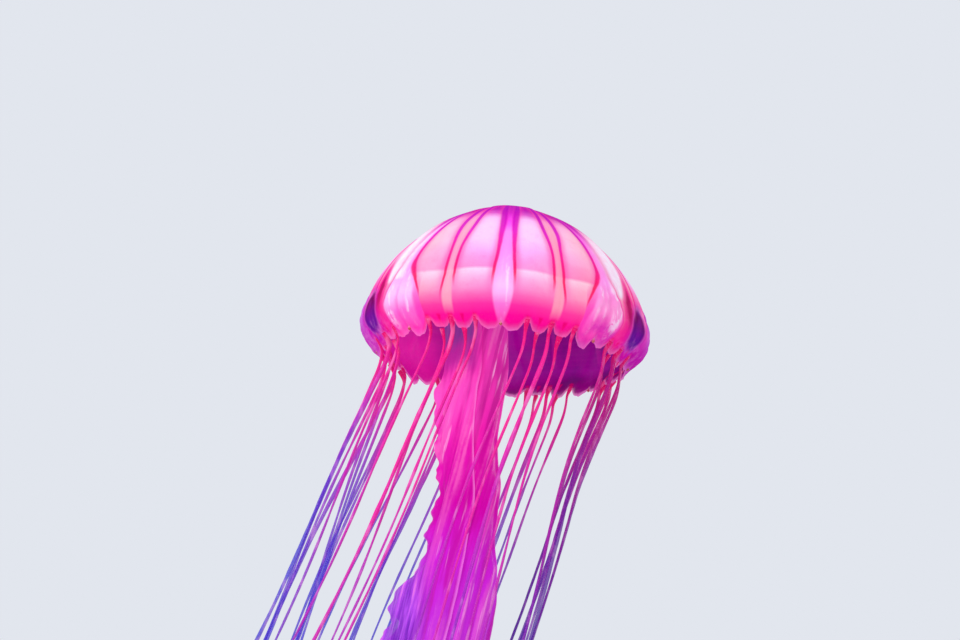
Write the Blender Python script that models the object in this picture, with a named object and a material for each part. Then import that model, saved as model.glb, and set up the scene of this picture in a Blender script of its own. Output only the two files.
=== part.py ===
"""Japanese sea nettle, life size, swimming on a plain display stand.

Metres, +Z up.  The origin is the centre of the stand's underside.  The bell's own frame has its
origin at the centre of the rim, +Z along the bell's axis towards the crown.  Angles round the bell
are measured from its front (-Y) towards its right (+X).
"""
import math

import bmesh
import bpy
import numpy as np
from mathutils import Matrix, Vector

# ---------------------------------------------------------------- driving sizes
GAP = 0.0003                      # left between pieces that touch

# stand
BASE_RADIUS = 0.120
BASE_THICKNESS = 0.012
BASE_BEVEL = 0.0015
ROD_RADIUS = 0.003
ROD_FOOT_RADIUS = 0.014
ROD_FOOT_HEIGHT = 0.006
ROD_FOOT_SHOULDER = 0.0036
ROD_FOOT_NECK = 0.0096
ROD_PAD_RADIUS = 0.0045
ROD_PAD_HEIGHT = 0.002
ROUND_SIDES = 40
ROD_SIDES = 12

# how the bell sits over the stand
RIM_CENTRE = Vector((0.014, 0.0, 0.560))
LEAN_RIGHT = math.radians(4.5)
LEAN_BACK = math.radians(5.0)
BELL_PHASE = -1.5                 # degrees from the front to the nearest sense organ

# bell
BELL_RADIUS = 0.0904
RIM_RADIUS = 0.0775
WIDEST_HEIGHT = 0.0211            # the widest level, above the rim
DOME_HEIGHT = 0.0817              # the crown, above the widest level
DOME_POWER = 1.704                # 2 would be an ellipse; less is more pointed
CROWN_THICKNESS = 0.009
WALL_THICKNESS = 0.003            # at the widest level
LAPPET_THICKNESS = 0.0016
BELL_SIDES = 40
DOME_RINGS = 9
LOBE_SWELL = 0.012                # how far the wall swells over each sense organ, as a share
SWELL_GROWS = (0.065, 0.020)      # between these heights, downwards

# margin: eight octants, each with four lappets and five tentacles, cut in two at the middle one
OCTANTS = 8
CLEFT_DEPTH = 0.84                # 1 is the rim plane, 0 the widest level
LAPPET_DEPTH = 1.20
LAPPET_SPAN = 11.25               # degrees
LAPPET_ROUNDING = 0.5             # a lappet's edge is a sine arch to this power
OUTER_POINTS = (4.2, 7.6)         # degrees past the last root where the outer lappet has points
RIM_TURN = 1.18                   # how sharply the wall turns in before it reaches the rim
ROOT_HALF_SPAN = 1.35             # degrees each side of a tentacle's middle
ROOT_TOLERANCE = 0.01             # degrees
MARGIN_ROWS = (0.0, 0.42, 0.74, 1.0)   # shares of the depth at which the wall has its points
ROOT_REACH = 0.0038               # a tentacle leaves the lining by this much
ROOT_DROP = 0.0022                # and drops by this before it hangs

# tentacles
TENTACLES = 5 * OCTANTS
TENTACLE_SWEEP = math.radians(20.5)
SWEEP_SPREAD = math.radians(3.5)  # the left side trails more than the right
HANG_LENGTH = 0.024               # over which a tentacle turns from hanging to trailing
GATHER = math.radians(6.0)        # the right side leans in by this much more just below the rim
SWAYS_ROUND = 3                   # the sway's phase runs this many times round the margin
SWAY_START = 2.68
SWAY = math.radians(3.2)          # to the side, about the trailing line
SWAY_SCALE = 0.055                # metres of length for each radian of the sway
SWAY_DEPTH = 0.001                # to the front and back
DEPTH_SCALE = 0.040               # metres of length for each radian of that
SWEEP_VARIES = math.radians(1.3)
STRAY = math.radians(3.0)         # how far the left side's tentacles stray from one another
STRAY_TURN = 2.4                  # radians of the straying from one tentacle to the next
STRAY_SIDES = (-0.005, -0.060)
TAIL_LIFT = math.radians(7.0)     # the far end trails flatter by this much
PARTING = 0.033                   # how far the right side's tentacles part round the oral arms
GATHER_SIDES = (-0.045, 0.085)    # from left to right of the rim's centre
PARTING_SIDES = (-0.030, 0.050)
GATHER_STARTS = (0.008, 0.030)    # these are lengths along a tentacle, from its root
GATHER_ENDS = (0.110, 0.045)
SWAY_STARTS = (0.030, 0.120)
DEPTH_STARTS = (0.050, 0.150)
PARTING_STARTS = (0.030, 0.160)
TAIL_STARTS = (0.200, 0.450)
PRIMARY_LENGTH = 0.500
SECONDARY_LENGTH = 0.460
TERTIARY_LENGTH = 0.420
PRIMARY_RADII = (0.0014, 0.0007)
FINE_RADII = (0.0010, 0.0005)
PRIMARY_SEGMENTS = 15
FINE_SEGMENTS = 9
PRIMARY_SIDES = 5
PRIMARY_EASE = 1.15               # over 1, a tentacle's rings are closer together near its root
FINE_EASE = 1.20
LENGTHS = 3                       # a long piece is divided into this many

# manubrium and oral arms
MANUBRIUM_TOP_RADIUS = 0.032
MANUBRIUM_FOOT_RADIUS = 0.0215
MANUBRIUM_FOOT_DROP = -0.030      # below the rim, so this is above it
MANUBRIUM_SIDES = 16
MANUBRIUM_LOBES = 4
LOBE_DEPTH = 0.10                 # of the radius
TOP_SHARES = (0.5, 1.0)          # of the top's radius, at which it has its rings
STALK_SHARES = (0.25, 0.5, 0.75, 1.0)   # of the way down
ARM_LENGTHS = (0.430, 0.445, 0.405, 0.420)
ARM_THICKNESS = 0.0026
ARM_EDGE_THINS = 0.45             # a ribbon's edge is thinner than its middle by this share
ARM_DEPTH = 0.017
ARM_SPAN = 42.5                   # degrees each way round the column from the arm's middle
ARM_SPAN_CLOSES = 0.80            # by this share at the tip
ARM_CLOSES = (0.45, 1.00)         # between these shares of its length
ARM_SPREAD = 0.004                # how far the four arms have drawn apart at their tips
ARM_SPREADS = (0.40, 1.00)
ARM_RIGHT_EDGE = 0.0115

# the column that the arms make; drops are measured down from the rim
COLUMN_WIDTH = 0.0150             # half of it at the mouth, left to right
NECK = 0.0028                     # more there, all of it to the right
NECK_DROPS = (0.050, -0.004)
SHOULDER = 0.0022                 # more below the mouth
SHOULDER_DROPS = (0.004, 0.022)
WAIST = 0.0012                    # less below the shoulder
WAIST_DROPS = (0.040, 0.070)
SKIRT = 0.0156                    # more further down
SKIRT_DROPS = (0.085, 0.185)
TRAIL_SLOPE = 0.50                # sideways for each metre down, once the column trails
TRAIL_DROP = 0.21
TRAIL_SOFTNESS = 0.05
CHANNEL = 0.0055                  # half the space left for the rod, front to back
CHANNEL_CLOSES = 0.65             # by this share, once the arms have trailed clear of the rod
CHANNEL_DROPS = (0.235, 0.300)

# the flutter of a ribbon
FLUTTER_TOP = 0.0008
FLUTTER_MORE = 0.0022             # added further down
FLUTTER_DROPS = (-0.02, 0.12)
FLUTTER_MIDDLE = 0.4              # of what the edges have
WAVE_SCALE = 0.0105               # metres of drop for each radian
WAVE_SCALE_STEP = 0.0008          # more on each arm than on the one before it
WAVE_PHASE_STEP = 1.9
WAVE_SLANT = 1.1
ARM_SEGMENTS = 7                  # in each length
ARM_POINTS = 5                    # across a ribbon

BELL_POSE = (Matrix.Translation(RIM_CENTRE)
             @ Matrix.Rotation(LEAN_RIGHT, 4, "Y")
             @ Matrix.Rotation(-LEAN_BACK, 4, "X"))


# ---------------------------------------------------------------- small helpers
def smooth_step(low, high, value):
    """0 below low, 1 above high, an even S between."""
    t = np.clip((value - low) / (high - low), 0.0, 1.0)
    return t * t * (3.0 - 2.0 * t)


def clear_scene():
    for item in list(bpy.data.objects):
        bpy.data.objects.remove(item, do_unlink=True)


def material(name, colour, roughness, metallic=0.0):
    made = bpy.data.materials.get(name)
    if made:
        return made
    made = bpy.data.materials.new(name)
    made.use_nodes = True
    shader = made.node_tree.nodes["Principled BSDF"]
    shader.inputs["Base Color"].default_value = (*colour, 1.0)
    shader.inputs["Roughness"].default_value = roughness
    shader.inputs["Metallic"].default_value = metallic
    made.diffuse_color = (*colour, 1.0)
    return made


def bell_flesh():
    return material("bell_flesh", (0.98, 0.42, 0.66), 0.25)


def margin_flesh():
    return material("margin_flesh", (0.86, 0.20, 0.52), 0.25)


def arm_flesh():
    return material("arm_flesh", (0.85, 0.10, 0.55), 0.35)


def tentacle_flesh():
    return material("tentacle_flesh", (0.62, 0.10, 0.60), 0.35)


def rod_steel():
    return material("rod_steel", (0.70, 0.71, 0.72), 0.30, 1.0)


def base_finish():
    return material("base_finish", (0.16, 0.17, 0.19), 0.55)


def add_object(name, bm, finish, location=(0.0, 0.0, 0.0), parent=None):
    """Makes the object from a bmesh whose points are measured from location."""
    bmesh.ops.recalc_face_normals(bm, faces=bm.faces[:])
    mesh = bpy.data.meshes.new(name)
    bm.to_mesh(mesh)
    bm.free()
    mesh.shade_smooth()
    mesh.set_sharp_from_angle(angle=math.radians(50))
    mesh.materials.append(finish)
    made = bpy.data.objects.new(name, mesh)
    bpy.context.scene.collection.objects.link(made)
    made.location = location
    made.parent = parent
    return made


def add_ring(bm, points):
    return [bm.verts.new(point) for point in points]


def bridge(bm, first, second, leave_out=()):
    """Quads between two closed rings of the same count."""
    count = len(first)
    for i in range(count):
        if i in leave_out:
            continue
        j = (i + 1) % count
        bm.faces.new((first[i], first[j], second[j], second[i]))


def turned(profile, sides):
    """A closed solid from (radius, height) pairs, whose first and last points are on the axis."""
    bm = bmesh.new()
    verts = [bm.verts.new((radius, 0.0, height)) for radius, height in profile]
    edges = [bm.edges.new(pair) for pair in zip(verts, verts[1:])]
    bmesh.ops.spin(bm, geom=verts + edges, axis=(0, 0, 1), cent=(0, 0, 0),
                   angle=2 * math.pi, steps=sides, use_merge=True)
    bmesh.ops.remove_doubles(bm, verts=bm.verts[:], dist=0.00001)
    return bm


# ---------------------------------------------------------------- the bell's form
def dome_profile(angle):
    """(radius, height) of the outer dome; angle is 0 at the crown, 90 at the widest level."""
    a = np.radians(angle)
    power = 2.0 / DOME_POWER
    return (BELL_RADIUS * np.sin(a) ** power,
            WIDEST_HEIGHT + DOME_HEIGHT * np.abs(np.cos(a)) ** power)


def inner_profile(angle):
    """(radius, height) of the dome's lining, which has the same form on smaller sizes."""
    a = np.radians(angle)
    power = 2.0 / DOME_POWER
    return ((BELL_RADIUS - WALL_THICKNESS) * np.sin(a) ** power,
            WIDEST_HEIGHT + (DOME_HEIGHT - CROWN_THICKNESS) * np.abs(np.cos(a)) ** power)


def margin_profile(depth):
    """(radius, height) of the outer margin; depth is 0 at the widest level, 1 in the rim plane.

    The wall turns in towards the rim, and past it the lappets hang nearly straight down.
    """
    turn_in = RIM_TURN * depth ** 2 / (1.0 + (RIM_TURN - 1.0) * depth ** 6)
    radius = BELL_RADIUS - (BELL_RADIUS - RIM_RADIUS) * turn_in
    return radius, WIDEST_HEIGHT * (1.0 - depth)


def lobe_swell(angle, height):
    """Widens the lower bell over the eight sense organs and narrows it between them."""
    share = LOBE_SWELL * np.cos(np.radians(OCTANTS * (angle - BELL_PHASE)))
    return 1.0 + share * smooth_step(*SWELL_GROWS, height)


def bell_point(angle, radius, height):
    """A point in the bell's frame, angle in degrees from the front towards the right."""
    a = math.radians(angle)
    r = float(radius * lobe_swell(angle, height))
    return Vector((r * math.sin(a), -r * math.cos(a), float(height)))


def build_bell(parent):
    bm = bmesh.new()
    angles = np.arange(BELL_SIDES) * 360.0 / BELL_SIDES
    steps = np.linspace(0.0, 90.0, DOME_RINGS + 1)[1:]
    rings = []
    for step in steps:
        radius, height = dome_profile(step)
        height = max(height, WIDEST_HEIGHT)
        rings.append(add_ring(bm, [bell_point(a, radius, height) for a in angles]))
    for step in steps[::-1]:
        radius, height = inner_profile(step)
        height = max(height, WIDEST_HEIGHT)
        rings.append(add_ring(bm, [bell_point(a, radius, height) for a in angles]))
    for first, second in zip(rings, rings[1:]):
        bridge(bm, first, second)
    crown = bm.verts.new((0.0, 0.0, dome_profile(0.0)[1]))
    vault = bm.verts.new((0.0, 0.0, inner_profile(0.0)[1]))
    for pole, ring in ((crown, rings[0]), (vault, rings[-1])):
        for i in range(BELL_SIDES):
            bm.faces.new((pole, ring[i], ring[(i + 1) % BELL_SIDES]))
    add_object("bell", bm, bell_flesh(), parent=parent)


# ---------------------------------------------------------------- tentacles
class Tentacle:
    """One tentacle's root on the margin's lining and its path in the world.

    It hangs for a short way from its root and then trails to the left.  The right side's tentacles
    part to the front and back of the oral arms, which they would otherwise run into.
    """

    FINE_STEP = 0.001

    def __init__(self, length, root, inward, order):
        self.length = length
        self.root = np.array(root)
        count = int(length / self.FINE_STEP) + 2
        s = np.arange(count) * self.FINE_STEP
        side = self.root[0] - RIM_CENTRE.x
        phase = SWAY_START + SWAYS_ROUND * 2 * math.pi * order / TENTACLES
        sweep = (TENTACLE_SWEEP - SWEEP_SPREAD * side / RIM_RADIUS
                 + SWEEP_VARIES * math.sin(phase)
                 + STRAY * float(smooth_step(*STRAY_SIDES, side)) * math.sin(STRAY_TURN * order))
        settled = smooth_step(0.0, HANG_LENGTH, s)
        tilt = LEAN_RIGHT + (sweep - LEAN_RIGHT) * settled
        gathered = smooth_step(*GATHER_STARTS, s) * smooth_step(*GATHER_ENDS, s)
        tilt = tilt + GATHER * float(smooth_step(*GATHER_SIDES, side)) * gathered
        swayed = smooth_step(*SWAY_STARTS, s)
        tilt = tilt + SWAY * np.sin(s / SWAY_SCALE + 0.5 * phase) * swayed
        tilt = tilt + TAIL_LIFT * smooth_step(*TAIL_STARTS, s)
        step = self.FINE_STEP
        x = np.concatenate([[0.0], np.cumsum(-np.sin(tilt[:-1]) * step)])
        z = np.concatenate([[0.0], np.cumsum(-np.cos(tilt[:-1]) * step)])
        start = self.root + np.array(inward)
        parting = PARTING * float(smooth_step(*PARTING_SIDES, side))
        parting = parting * smooth_step(*PARTING_STARTS, s)
        front_back = math.copysign(1.0, start[1])
        y = front_back * np.sqrt(start[1] ** 2 + parting ** 2)
        y = y + SWAY_DEPTH * np.sin(s / DEPTH_SCALE + phase) * smooth_step(*DEPTH_STARTS, s)
        self.path = np.stack([start[0] + x, y, start[2] + z], axis=1)
        self.reach = s

    def at(self, s):
        return np.array([np.interp(s, self.reach, self.path[:, k]) for k in range(3)])

    def along(self, s):
        reach = 2 * self.FINE_STEP
        d = self.at(s + reach) - self.at(max(s - reach, 0.0))
        return Vector(d / np.linalg.norm(d))


def tube_rings(tentacle, stations, radii, sides, across):
    """Rings round the path, carried along it without twisting.

    With four sides, a ring's corners come in the order of a root patch's corners.
    """
    rings = []
    for s in stations:
        t = tentacle.along(s)
        across = (across - t * across.dot(t)).normalized()
        up = across.cross(t)
        centre = Vector(tentacle.at(s))
        radius = float(radii[0] + (radii[1] - radii[0]) * s / tentacle.length)
        turns = [math.pi / 2 + math.pi / sides - 2 * math.pi * i / sides for i in range(sides)]
        rings.append([centre + radius * (across * math.cos(a) + up * math.sin(a)) for a in turns])
    return rings


def tentacle_from_patch(corners, angle, length, order):
    """The tentacle that grows from a patch of the margin's lining, given in the bell's frame."""
    middle = sum(corners, Vector()) / len(corners)
    a = math.radians(angle)
    outward = Vector((math.sin(a), -math.cos(a), 0.0))
    inward = -outward * ROOT_REACH - Vector((0.0, 0.0, ROOT_DROP))
    turn = BELL_POSE.to_3x3()
    across = turn @ Vector((math.cos(a), math.sin(a), 0.0))
    return Tentacle(length, BELL_POSE @ middle, turn @ inward, order), across


def build_primary_tentacle(name, corners, angle, order):
    """Three lengths, the first of which faces its root patch."""
    tentacle, across = tentacle_from_patch(corners, angle, PRIMARY_LENGTH, order)
    each = PRIMARY_SEGMENTS // LENGTHS
    shares = np.arange(PRIMARY_SEGMENTS + 1) / PRIMARY_SEGMENTS
    marks = PRIMARY_LENGTH * shares ** PRIMARY_EASE
    for part in range(LENGTHS):
        stations = marks[part * each:(part + 1) * each + 1].copy()
        if part:
            stations[0] += GAP
        rings = tube_rings(tentacle, stations, PRIMARY_RADII, PRIMARY_SIDES, across)
        if not part:
            rings.insert(0, root_face(corners, angle))
        place = rings[0][0]
        bm = bmesh.new()
        made = [add_ring(bm, [point - place for point in ring]) for ring in rings]
        for first, second in zip(made, made[1:]):
            bridge(bm, first, second)
        bm.faces.new(made[0])
        bm.faces.new(made[-1])
        add_object(f"{name}_{part + 1}", bm, tentacle_flesh(), location=place)


def root_face(corners, angle):
    """A ring in the world, facing a root patch from just inside it."""
    a = math.radians(angle)
    outward = Vector((math.sin(a), -math.cos(a), 0.0))
    across = Vector((math.cos(a), math.sin(a), 0.0))
    slope = (corners[0] + corners[1] - corners[2] - corners[3]).normalized()
    normal = across.cross(slope).normalized()
    if normal.dot(outward) > 0:
        normal = -normal
    middle = sum(corners, Vector()) / len(corners) + normal * GAP
    turns = [math.pi / 2 + math.pi / PRIMARY_SIDES - 2 * math.pi * i / PRIMARY_SIDES
             for i in range(PRIMARY_SIDES)]
    return [BELL_POSE @ (middle + PRIMARY_RADII[0] * (across * math.cos(t) + slope * math.sin(t)))
            for t in turns]


# ---------------------------------------------------------------- the margin
def lappet_depth(offset):
    """How deep the margin's edge hangs, offset in degrees from the octant's middle."""
    d = abs(offset)
    if d < LAPPET_SPAN:
        low, high = ROOT_HALF_SPAN, LAPPET_SPAN - ROOT_HALF_SPAN
    else:
        low, high = LAPPET_SPAN + ROOT_HALF_SPAN, 2 * LAPPET_SPAN
    t = min(max((d - low) / (high - low), 0.0), 1.0)
    arch = math.sin(math.pi * t) ** LAPPET_ROUNDING
    return CLEFT_DEPTH + (LAPPET_DEPTH - CLEFT_DEPTH) * arch


def octant_columns():
    """Degrees from the octant's middle: each side of every root, and points along the lappets."""
    edge = 2 * LAPPET_SPAN - math.degrees(GAP / 2 / RIM_RADIUS)
    half = LAPPET_SPAN / 2
    right = [ROOT_HALF_SPAN, half - ROOT_HALF_SPAN, half + ROOT_HALF_SPAN,
             LAPPET_SPAN - ROOT_HALF_SPAN, LAPPET_SPAN + ROOT_HALF_SPAN]
    right += [LAPPET_SPAN + more for more in OUTER_POINTS] + [edge]
    return [-d for d in reversed(right)] + right


def half_octants():
    """The columns of an octant's two halves, which part beside the middle tentacle's root."""
    columns = octant_columns()
    cut = columns.index(ROOT_HALF_SPAN)
    past = ROOT_HALF_SPAN + math.degrees(GAP / RIM_RADIUS)
    return columns[:cut + 1], [past] + columns[cut + 1:]


def margin_loop(middle, offset):
    """The margin cut through at one angle: down the outside, then up the lining."""
    deepest = lappet_depth(offset)
    outside = []
    lining = []
    for share in MARGIN_ROWS:
        depth = max(deepest * share, GAP / WIDEST_HEIGHT)
        radius, height = margin_profile(depth)
        thickness = WALL_THICKNESS + (LAPPET_THICKNESS - WALL_THICKNESS) * depth / LAPPET_DEPTH
        outside.append(bell_point(middle + offset, radius, height))
        lining.append(bell_point(middle + offset, radius - thickness, height))
    return outside + lining[::-1]


def octant_roots():
    """How long each tentacle of an octant is, by its degrees from the octant's middle."""
    half = LAPPET_SPAN / 2
    return {-LAPPET_SPAN: SECONDARY_LENGTH, -half: TERTIARY_LENGTH, 0.0: PRIMARY_LENGTH,
            half: TERTIARY_LENGTH, LAPPET_SPAN: SECONDARY_LENGTH}


def build_half_octant(k, part, columns, parent):
    """Two lappets, with the two finer tentacles that grow from their lining.

    The half that holds the octant's middle makes the primary tentacle that faces it as well.
    """
    middle = BELL_PHASE + (k + 0.5) * 360.0 / OCTANTS
    roots = octant_roots()
    low, high = len(MARGIN_ROWS), len(MARGIN_ROWS) + 1
    world_to_bell = BELL_POSE.inverted()
    bm = bmesh.new()
    loops = [add_ring(bm, margin_loop(middle, offset)) for offset in columns]
    for i, (first, second) in enumerate(zip(loops, loops[1:])):
        centre = (columns[i] + columns[i + 1]) / 2
        root = [r for r in roots if abs(centre - r) < ROOT_TOLERANCE]
        grows = bool(root) and root[0] != 0.0
        bridge(bm, first, second, leave_out=(low,) if grows else ())
        if not root:
            continue
        patch = [first[high], second[high], second[low], first[low]]
        corners = [vert.co.copy() for vert in patch]
        order = 5 * k + sorted(roots).index(root[0])
        if not grows:
            build_primary_tentacle(f"tentacle_{k + 1}", corners, middle, order)
            continue
        length = roots[root[0]]
        tentacle, across = tentacle_from_patch(corners, middle + root[0], length, order)
        marks = length * (np.arange(FINE_SEGMENTS + 1) / FINE_SEGMENTS) ** FINE_EASE
        rings = tube_rings(tentacle, marks, FINE_RADII, 4, across)
        made = [add_ring(bm, [world_to_bell @ point for point in ring]) for ring in rings]
        for upper, lower in zip([patch] + made, made):
            bridge(bm, upper, lower)
        bm.faces.new(made[-1])
    bm.faces.new(loops[0])
    bm.faces.new(loops[-1])
    add_object(f"margin_{k + 1}_{part + 1}", bm, margin_flesh(), parent=parent)


# ---------------------------------------------------------------- manubrium and oral arms
def build_manubrium():
    """The mouth's stalk, from the dome's lining down to a level foot over the rod."""
    foot_z = RIM_CENTRE.z - MANUBRIUM_FOOT_DROP
    turns = np.arange(MANUBRIUM_SIDES) * 2 * math.pi / MANUBRIUM_SIDES
    lobes = 1.0 + LOBE_DEPTH * np.cos(MANUBRIUM_LOBES * turns)
    angles = np.linspace(0.0, 90.0, 400)
    radii, heights = inner_profile(angles)

    def lining_height(radius):
        return float(np.interp(radius, radii, heights)) - 2 * GAP

    rings = []
    for share in TOP_SHARES:
        ring = []
        for turn, lobe in zip(turns, lobes):
            r = MANUBRIUM_TOP_RADIUS * share * lobe
            ring.append(BELL_POSE @ Vector((r * math.cos(turn), r * math.sin(turn),
                                            lining_height(r))))
        rings.append(ring)
    top_z = lining_height(MANUBRIUM_TOP_RADIUS)
    for share in STALK_SHARES:
        ring = []
        narrowing = (MANUBRIUM_TOP_RADIUS - MANUBRIUM_FOOT_RADIUS) * (1 - share) ** 2
        radius = MANUBRIUM_FOOT_RADIUS + narrowing
        height = top_z * (1 - share) - MANUBRIUM_FOOT_DROP * share
        for turn, lobe in zip(turns, lobes):
            r = radius * (1 + (lobe - 1) * (1 - 0.5 * share))
            flat = Vector((r * math.cos(turn), r * math.sin(turn), 0.0))
            hung = BELL_POSE @ (flat + Vector((0.0, 0.0, height)))
            level = flat + Vector((0.0, 0.0, foot_z))
            ring.append(hung.lerp(level, share ** 2))
        rings.append(ring)
    place = Vector((0.0, 0.0, foot_z))
    bm = bmesh.new()
    made = [add_ring(bm, [point - place for point in ring]) for ring in rings]
    for first, second in zip(made, made[1:]):
        bridge(bm, first, second)
    crown = bm.verts.new(BELL_POSE @ Vector((0.0, 0.0, lining_height(0.0))) - place)
    for i in range(MANUBRIUM_SIDES):
        bm.faces.new((crown, made[0][i], made[0][(i + 1) % MANUBRIUM_SIDES]))
    bm.faces.new(made[-1])
    add_object("manubrium", bm, arm_flesh(), location=place)


def arm_section(arm, drop, length):
    """The middle line of one oral arm's cut, level, at a drop below the rim.

    The four arms stand round the rod's channel, two before it and two behind.  The column that they
    make keeps a nearly straight right edge, widens to the left, and trails left further down.
    """
    half = (-1.0, 1.0, 1.0, -1.0)[arm]
    side = (-1.0, -1.0, 1.0, 1.0)[arm]
    neck = NECK * float(smooth_step(*NECK_DROPS, drop))
    width = (COLUMN_WIDTH + neck + SHOULDER * float(smooth_step(*SHOULDER_DROPS, drop))
             - WAIST * float(smooth_step(*WAIST_DROPS, drop))
             + SKIRT * float(smooth_step(*SKIRT_DROPS, drop)))
    past = drop - TRAIL_DROP
    trail = TRAIL_SLOPE / 2 * (past + math.hypot(past, TRAIL_SOFTNESS))
    centre = ARM_RIGHT_EDGE + 2.0 * neck - width - trail
    share = (drop - MANUBRIUM_FOOT_DROP) / length
    span = ARM_SPAN * (1.0 - ARM_SPAN_CLOSES * float(smooth_step(*ARM_CLOSES, share)))
    spread = ARM_SPREAD * float(smooth_step(*ARM_SPREADS, share))
    channel = CHANNEL * (1.0 - CHANNEL_CLOSES * float(smooth_step(*CHANNEL_DROPS, drop)))
    u = np.linspace(-1.0, 1.0, ARM_POINTS)
    psi = np.radians(45.0 + span * u)
    scale = WAVE_SCALE + WAVE_SCALE_STEP * arm
    wave = np.sin(drop / scale + WAVE_PHASE_STEP * arm + WAVE_SLANT * u)
    most = FLUTTER_TOP + FLUTTER_MORE * float(smooth_step(*FLUTTER_DROPS, drop))
    flutter = most * (FLUTTER_MIDDLE + (1.0 - FLUTTER_MIDDLE) * u * u) * wave
    x = centre + half * ((width + flutter) * np.cos(psi) + spread)
    y = side * (channel + (ARM_DEPTH + flutter) * np.sin(psi) + spread)
    return np.stack([x, y], axis=1)


def build_arm(arm):
    length = ARM_LENGTHS[arm]
    count = ARM_SEGMENTS * LENGTHS
    drops = MANUBRIUM_FOOT_DROP + GAP + (length - GAP) * np.arange(count + 1) / count
    for part in range(LENGTHS):
        stations = drops[part * ARM_SEGMENTS:(part + 1) * ARM_SEGMENTS + 1].copy()
        if part:
            stations[0] += GAP
        place = Vector((*arm_section(arm, stations[0], length)[ARM_POINTS // 2],
                        RIM_CENTRE.z - stations[0]))
        bm = bmesh.new()
        rings = []
        for drop in stations:
            line = arm_section(arm, drop, length)
            along = np.gradient(line, axis=0)
            along /= np.linalg.norm(along, axis=1)[:, None]
            normal = np.stack([-along[:, 1], along[:, 0]], axis=1)
            edge = 1.0 - ARM_EDGE_THINS * np.linspace(-1.0, 1.0, ARM_POINTS) ** 2
            offset = normal * (ARM_THICKNESS / 2 * edge)[:, None]
            loop = np.concatenate([line + offset, (line - offset)[::-1]])
            rings.append(add_ring(bm, [Vector((x, y, RIM_CENTRE.z - drop)) - place
                                       for x, y in loop]))
        for first, second in zip(rings, rings[1:]):
            bridge(bm, first, second)
        bm.faces.new(rings[0])
        bm.faces.new(rings[-1])
        add_object(f"oral_arm_{arm + 1}_{part + 1}", bm, arm_flesh(), location=place)


# ---------------------------------------------------------------- the stand
def build_stand():
    bm = turned([(0.0, 0.0), (BASE_RADIUS, 0.0), (BASE_RADIUS, BASE_THICKNESS - BASE_BEVEL),
                 (BASE_RADIUS - BASE_BEVEL, BASE_THICKNESS), (0.0, BASE_THICKNESS)], ROUND_SIDES)
    add_object("stand_base", bm, base_finish())
    top = RIM_CENTRE.z - MANUBRIUM_FOOT_DROP - BASE_THICKNESS - 2 * GAP
    bm = turned([(0.0, 0.0), (ROD_FOOT_RADIUS, 0.0), (ROD_FOOT_RADIUS, ROD_FOOT_SHOULDER),
                 (ROD_FOOT_RADIUS / 2, ROD_FOOT_HEIGHT), (ROD_RADIUS, ROD_FOOT_NECK),
                 (ROD_RADIUS, top - ROD_PAD_HEIGHT * 2), (ROD_PAD_RADIUS, top - ROD_PAD_HEIGHT),
                 (ROD_PAD_RADIUS, top), (0.0, top)], ROD_SIDES)
    add_object("stand_rod", bm, rod_steel(), location=(0.0, 0.0, BASE_THICKNESS + GAP))


def main():
    clear_scene()
    pose = bpy.data.objects.new("bell_pose", None)
    bpy.context.scene.collection.objects.link(pose)
    pose.matrix_world = BELL_POSE
    build_bell(pose)
    for k in range(OCTANTS):
        for part, columns in enumerate(half_octants()):
            build_half_octant(k, part, columns, pose)
    build_manubrium()
    for arm in range(len(ARM_LENGTHS)):
        build_arm(arm)
    build_stand()


main()
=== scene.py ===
"""Japanese sea nettle on a display stand: skins, finishes, studio.

Metres, +Z up.  Angles round the bell are in degrees from its front (-Y) towards its right (+X).
Every skin is a surface of two parameters, worked out in whole arrays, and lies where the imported
solids that it replaces lie.
"""

import logging
import math
from dataclasses import dataclass, field
from enum import Enum
from typing import Union

import bpy
import numpy as np
from mathutils import Matrix, Vector


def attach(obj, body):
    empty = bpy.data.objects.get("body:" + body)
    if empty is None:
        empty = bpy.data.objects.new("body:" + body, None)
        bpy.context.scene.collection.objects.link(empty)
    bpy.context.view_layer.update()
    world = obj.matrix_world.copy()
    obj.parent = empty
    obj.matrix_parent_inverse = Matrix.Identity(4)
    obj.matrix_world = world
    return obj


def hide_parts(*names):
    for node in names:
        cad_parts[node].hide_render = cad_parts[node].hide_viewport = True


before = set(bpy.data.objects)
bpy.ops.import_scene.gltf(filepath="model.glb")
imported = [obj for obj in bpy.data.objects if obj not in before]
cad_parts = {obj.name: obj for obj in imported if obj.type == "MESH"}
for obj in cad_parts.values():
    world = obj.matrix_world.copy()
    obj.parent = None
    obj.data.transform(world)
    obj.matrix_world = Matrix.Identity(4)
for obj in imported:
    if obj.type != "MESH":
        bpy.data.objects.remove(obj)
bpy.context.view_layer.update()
LOG = logging.getLogger("sea_nettle")

OCTANTS = 8
TENTACLES = 40
OCTANT = 360.0 / OCTANTS
DEEPEST = 2.2
WET = {"Subsurface_Weight": 0.12, "Subsurface_Scale": 1.0, "Coat_IOR": 1.34}
RIPPLE_OCTAVES = 5
RIPPLE_QUICKENS = 1.35
RIPPLE_LOWERS = 1.2
RIPPLE_HEIGHT = 2.6
Array = np.ndarray
Colour = tuple[int, int, int]
Span = tuple[float, float]
Stops = tuple[tuple[float, int, int, int], ...]
Triple = tuple[float, float, float]
Material = bpy.types.Material
BLACK: Colour = (0, 0, 0)


class Slot(Enum):
    """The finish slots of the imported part."""

    BELL = "bell_flesh"
    MARGIN = "margin_flesh"
    ARM = "arm_flesh"
    TENTACLE = "tentacle_flesh"
    ROD = "rod_steel"
    BASE = "base_finish"


class Half(Enum):
    """The side of the oral arms' column that an arm takes, as the sign of x."""

    LEFT = -1.0
    RIGHT = 1.0


class Face(Enum):
    """Whether an arm stands before or behind the rod, as the sign of y."""

    FRONT = -1.0
    BACK = 1.0


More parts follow.
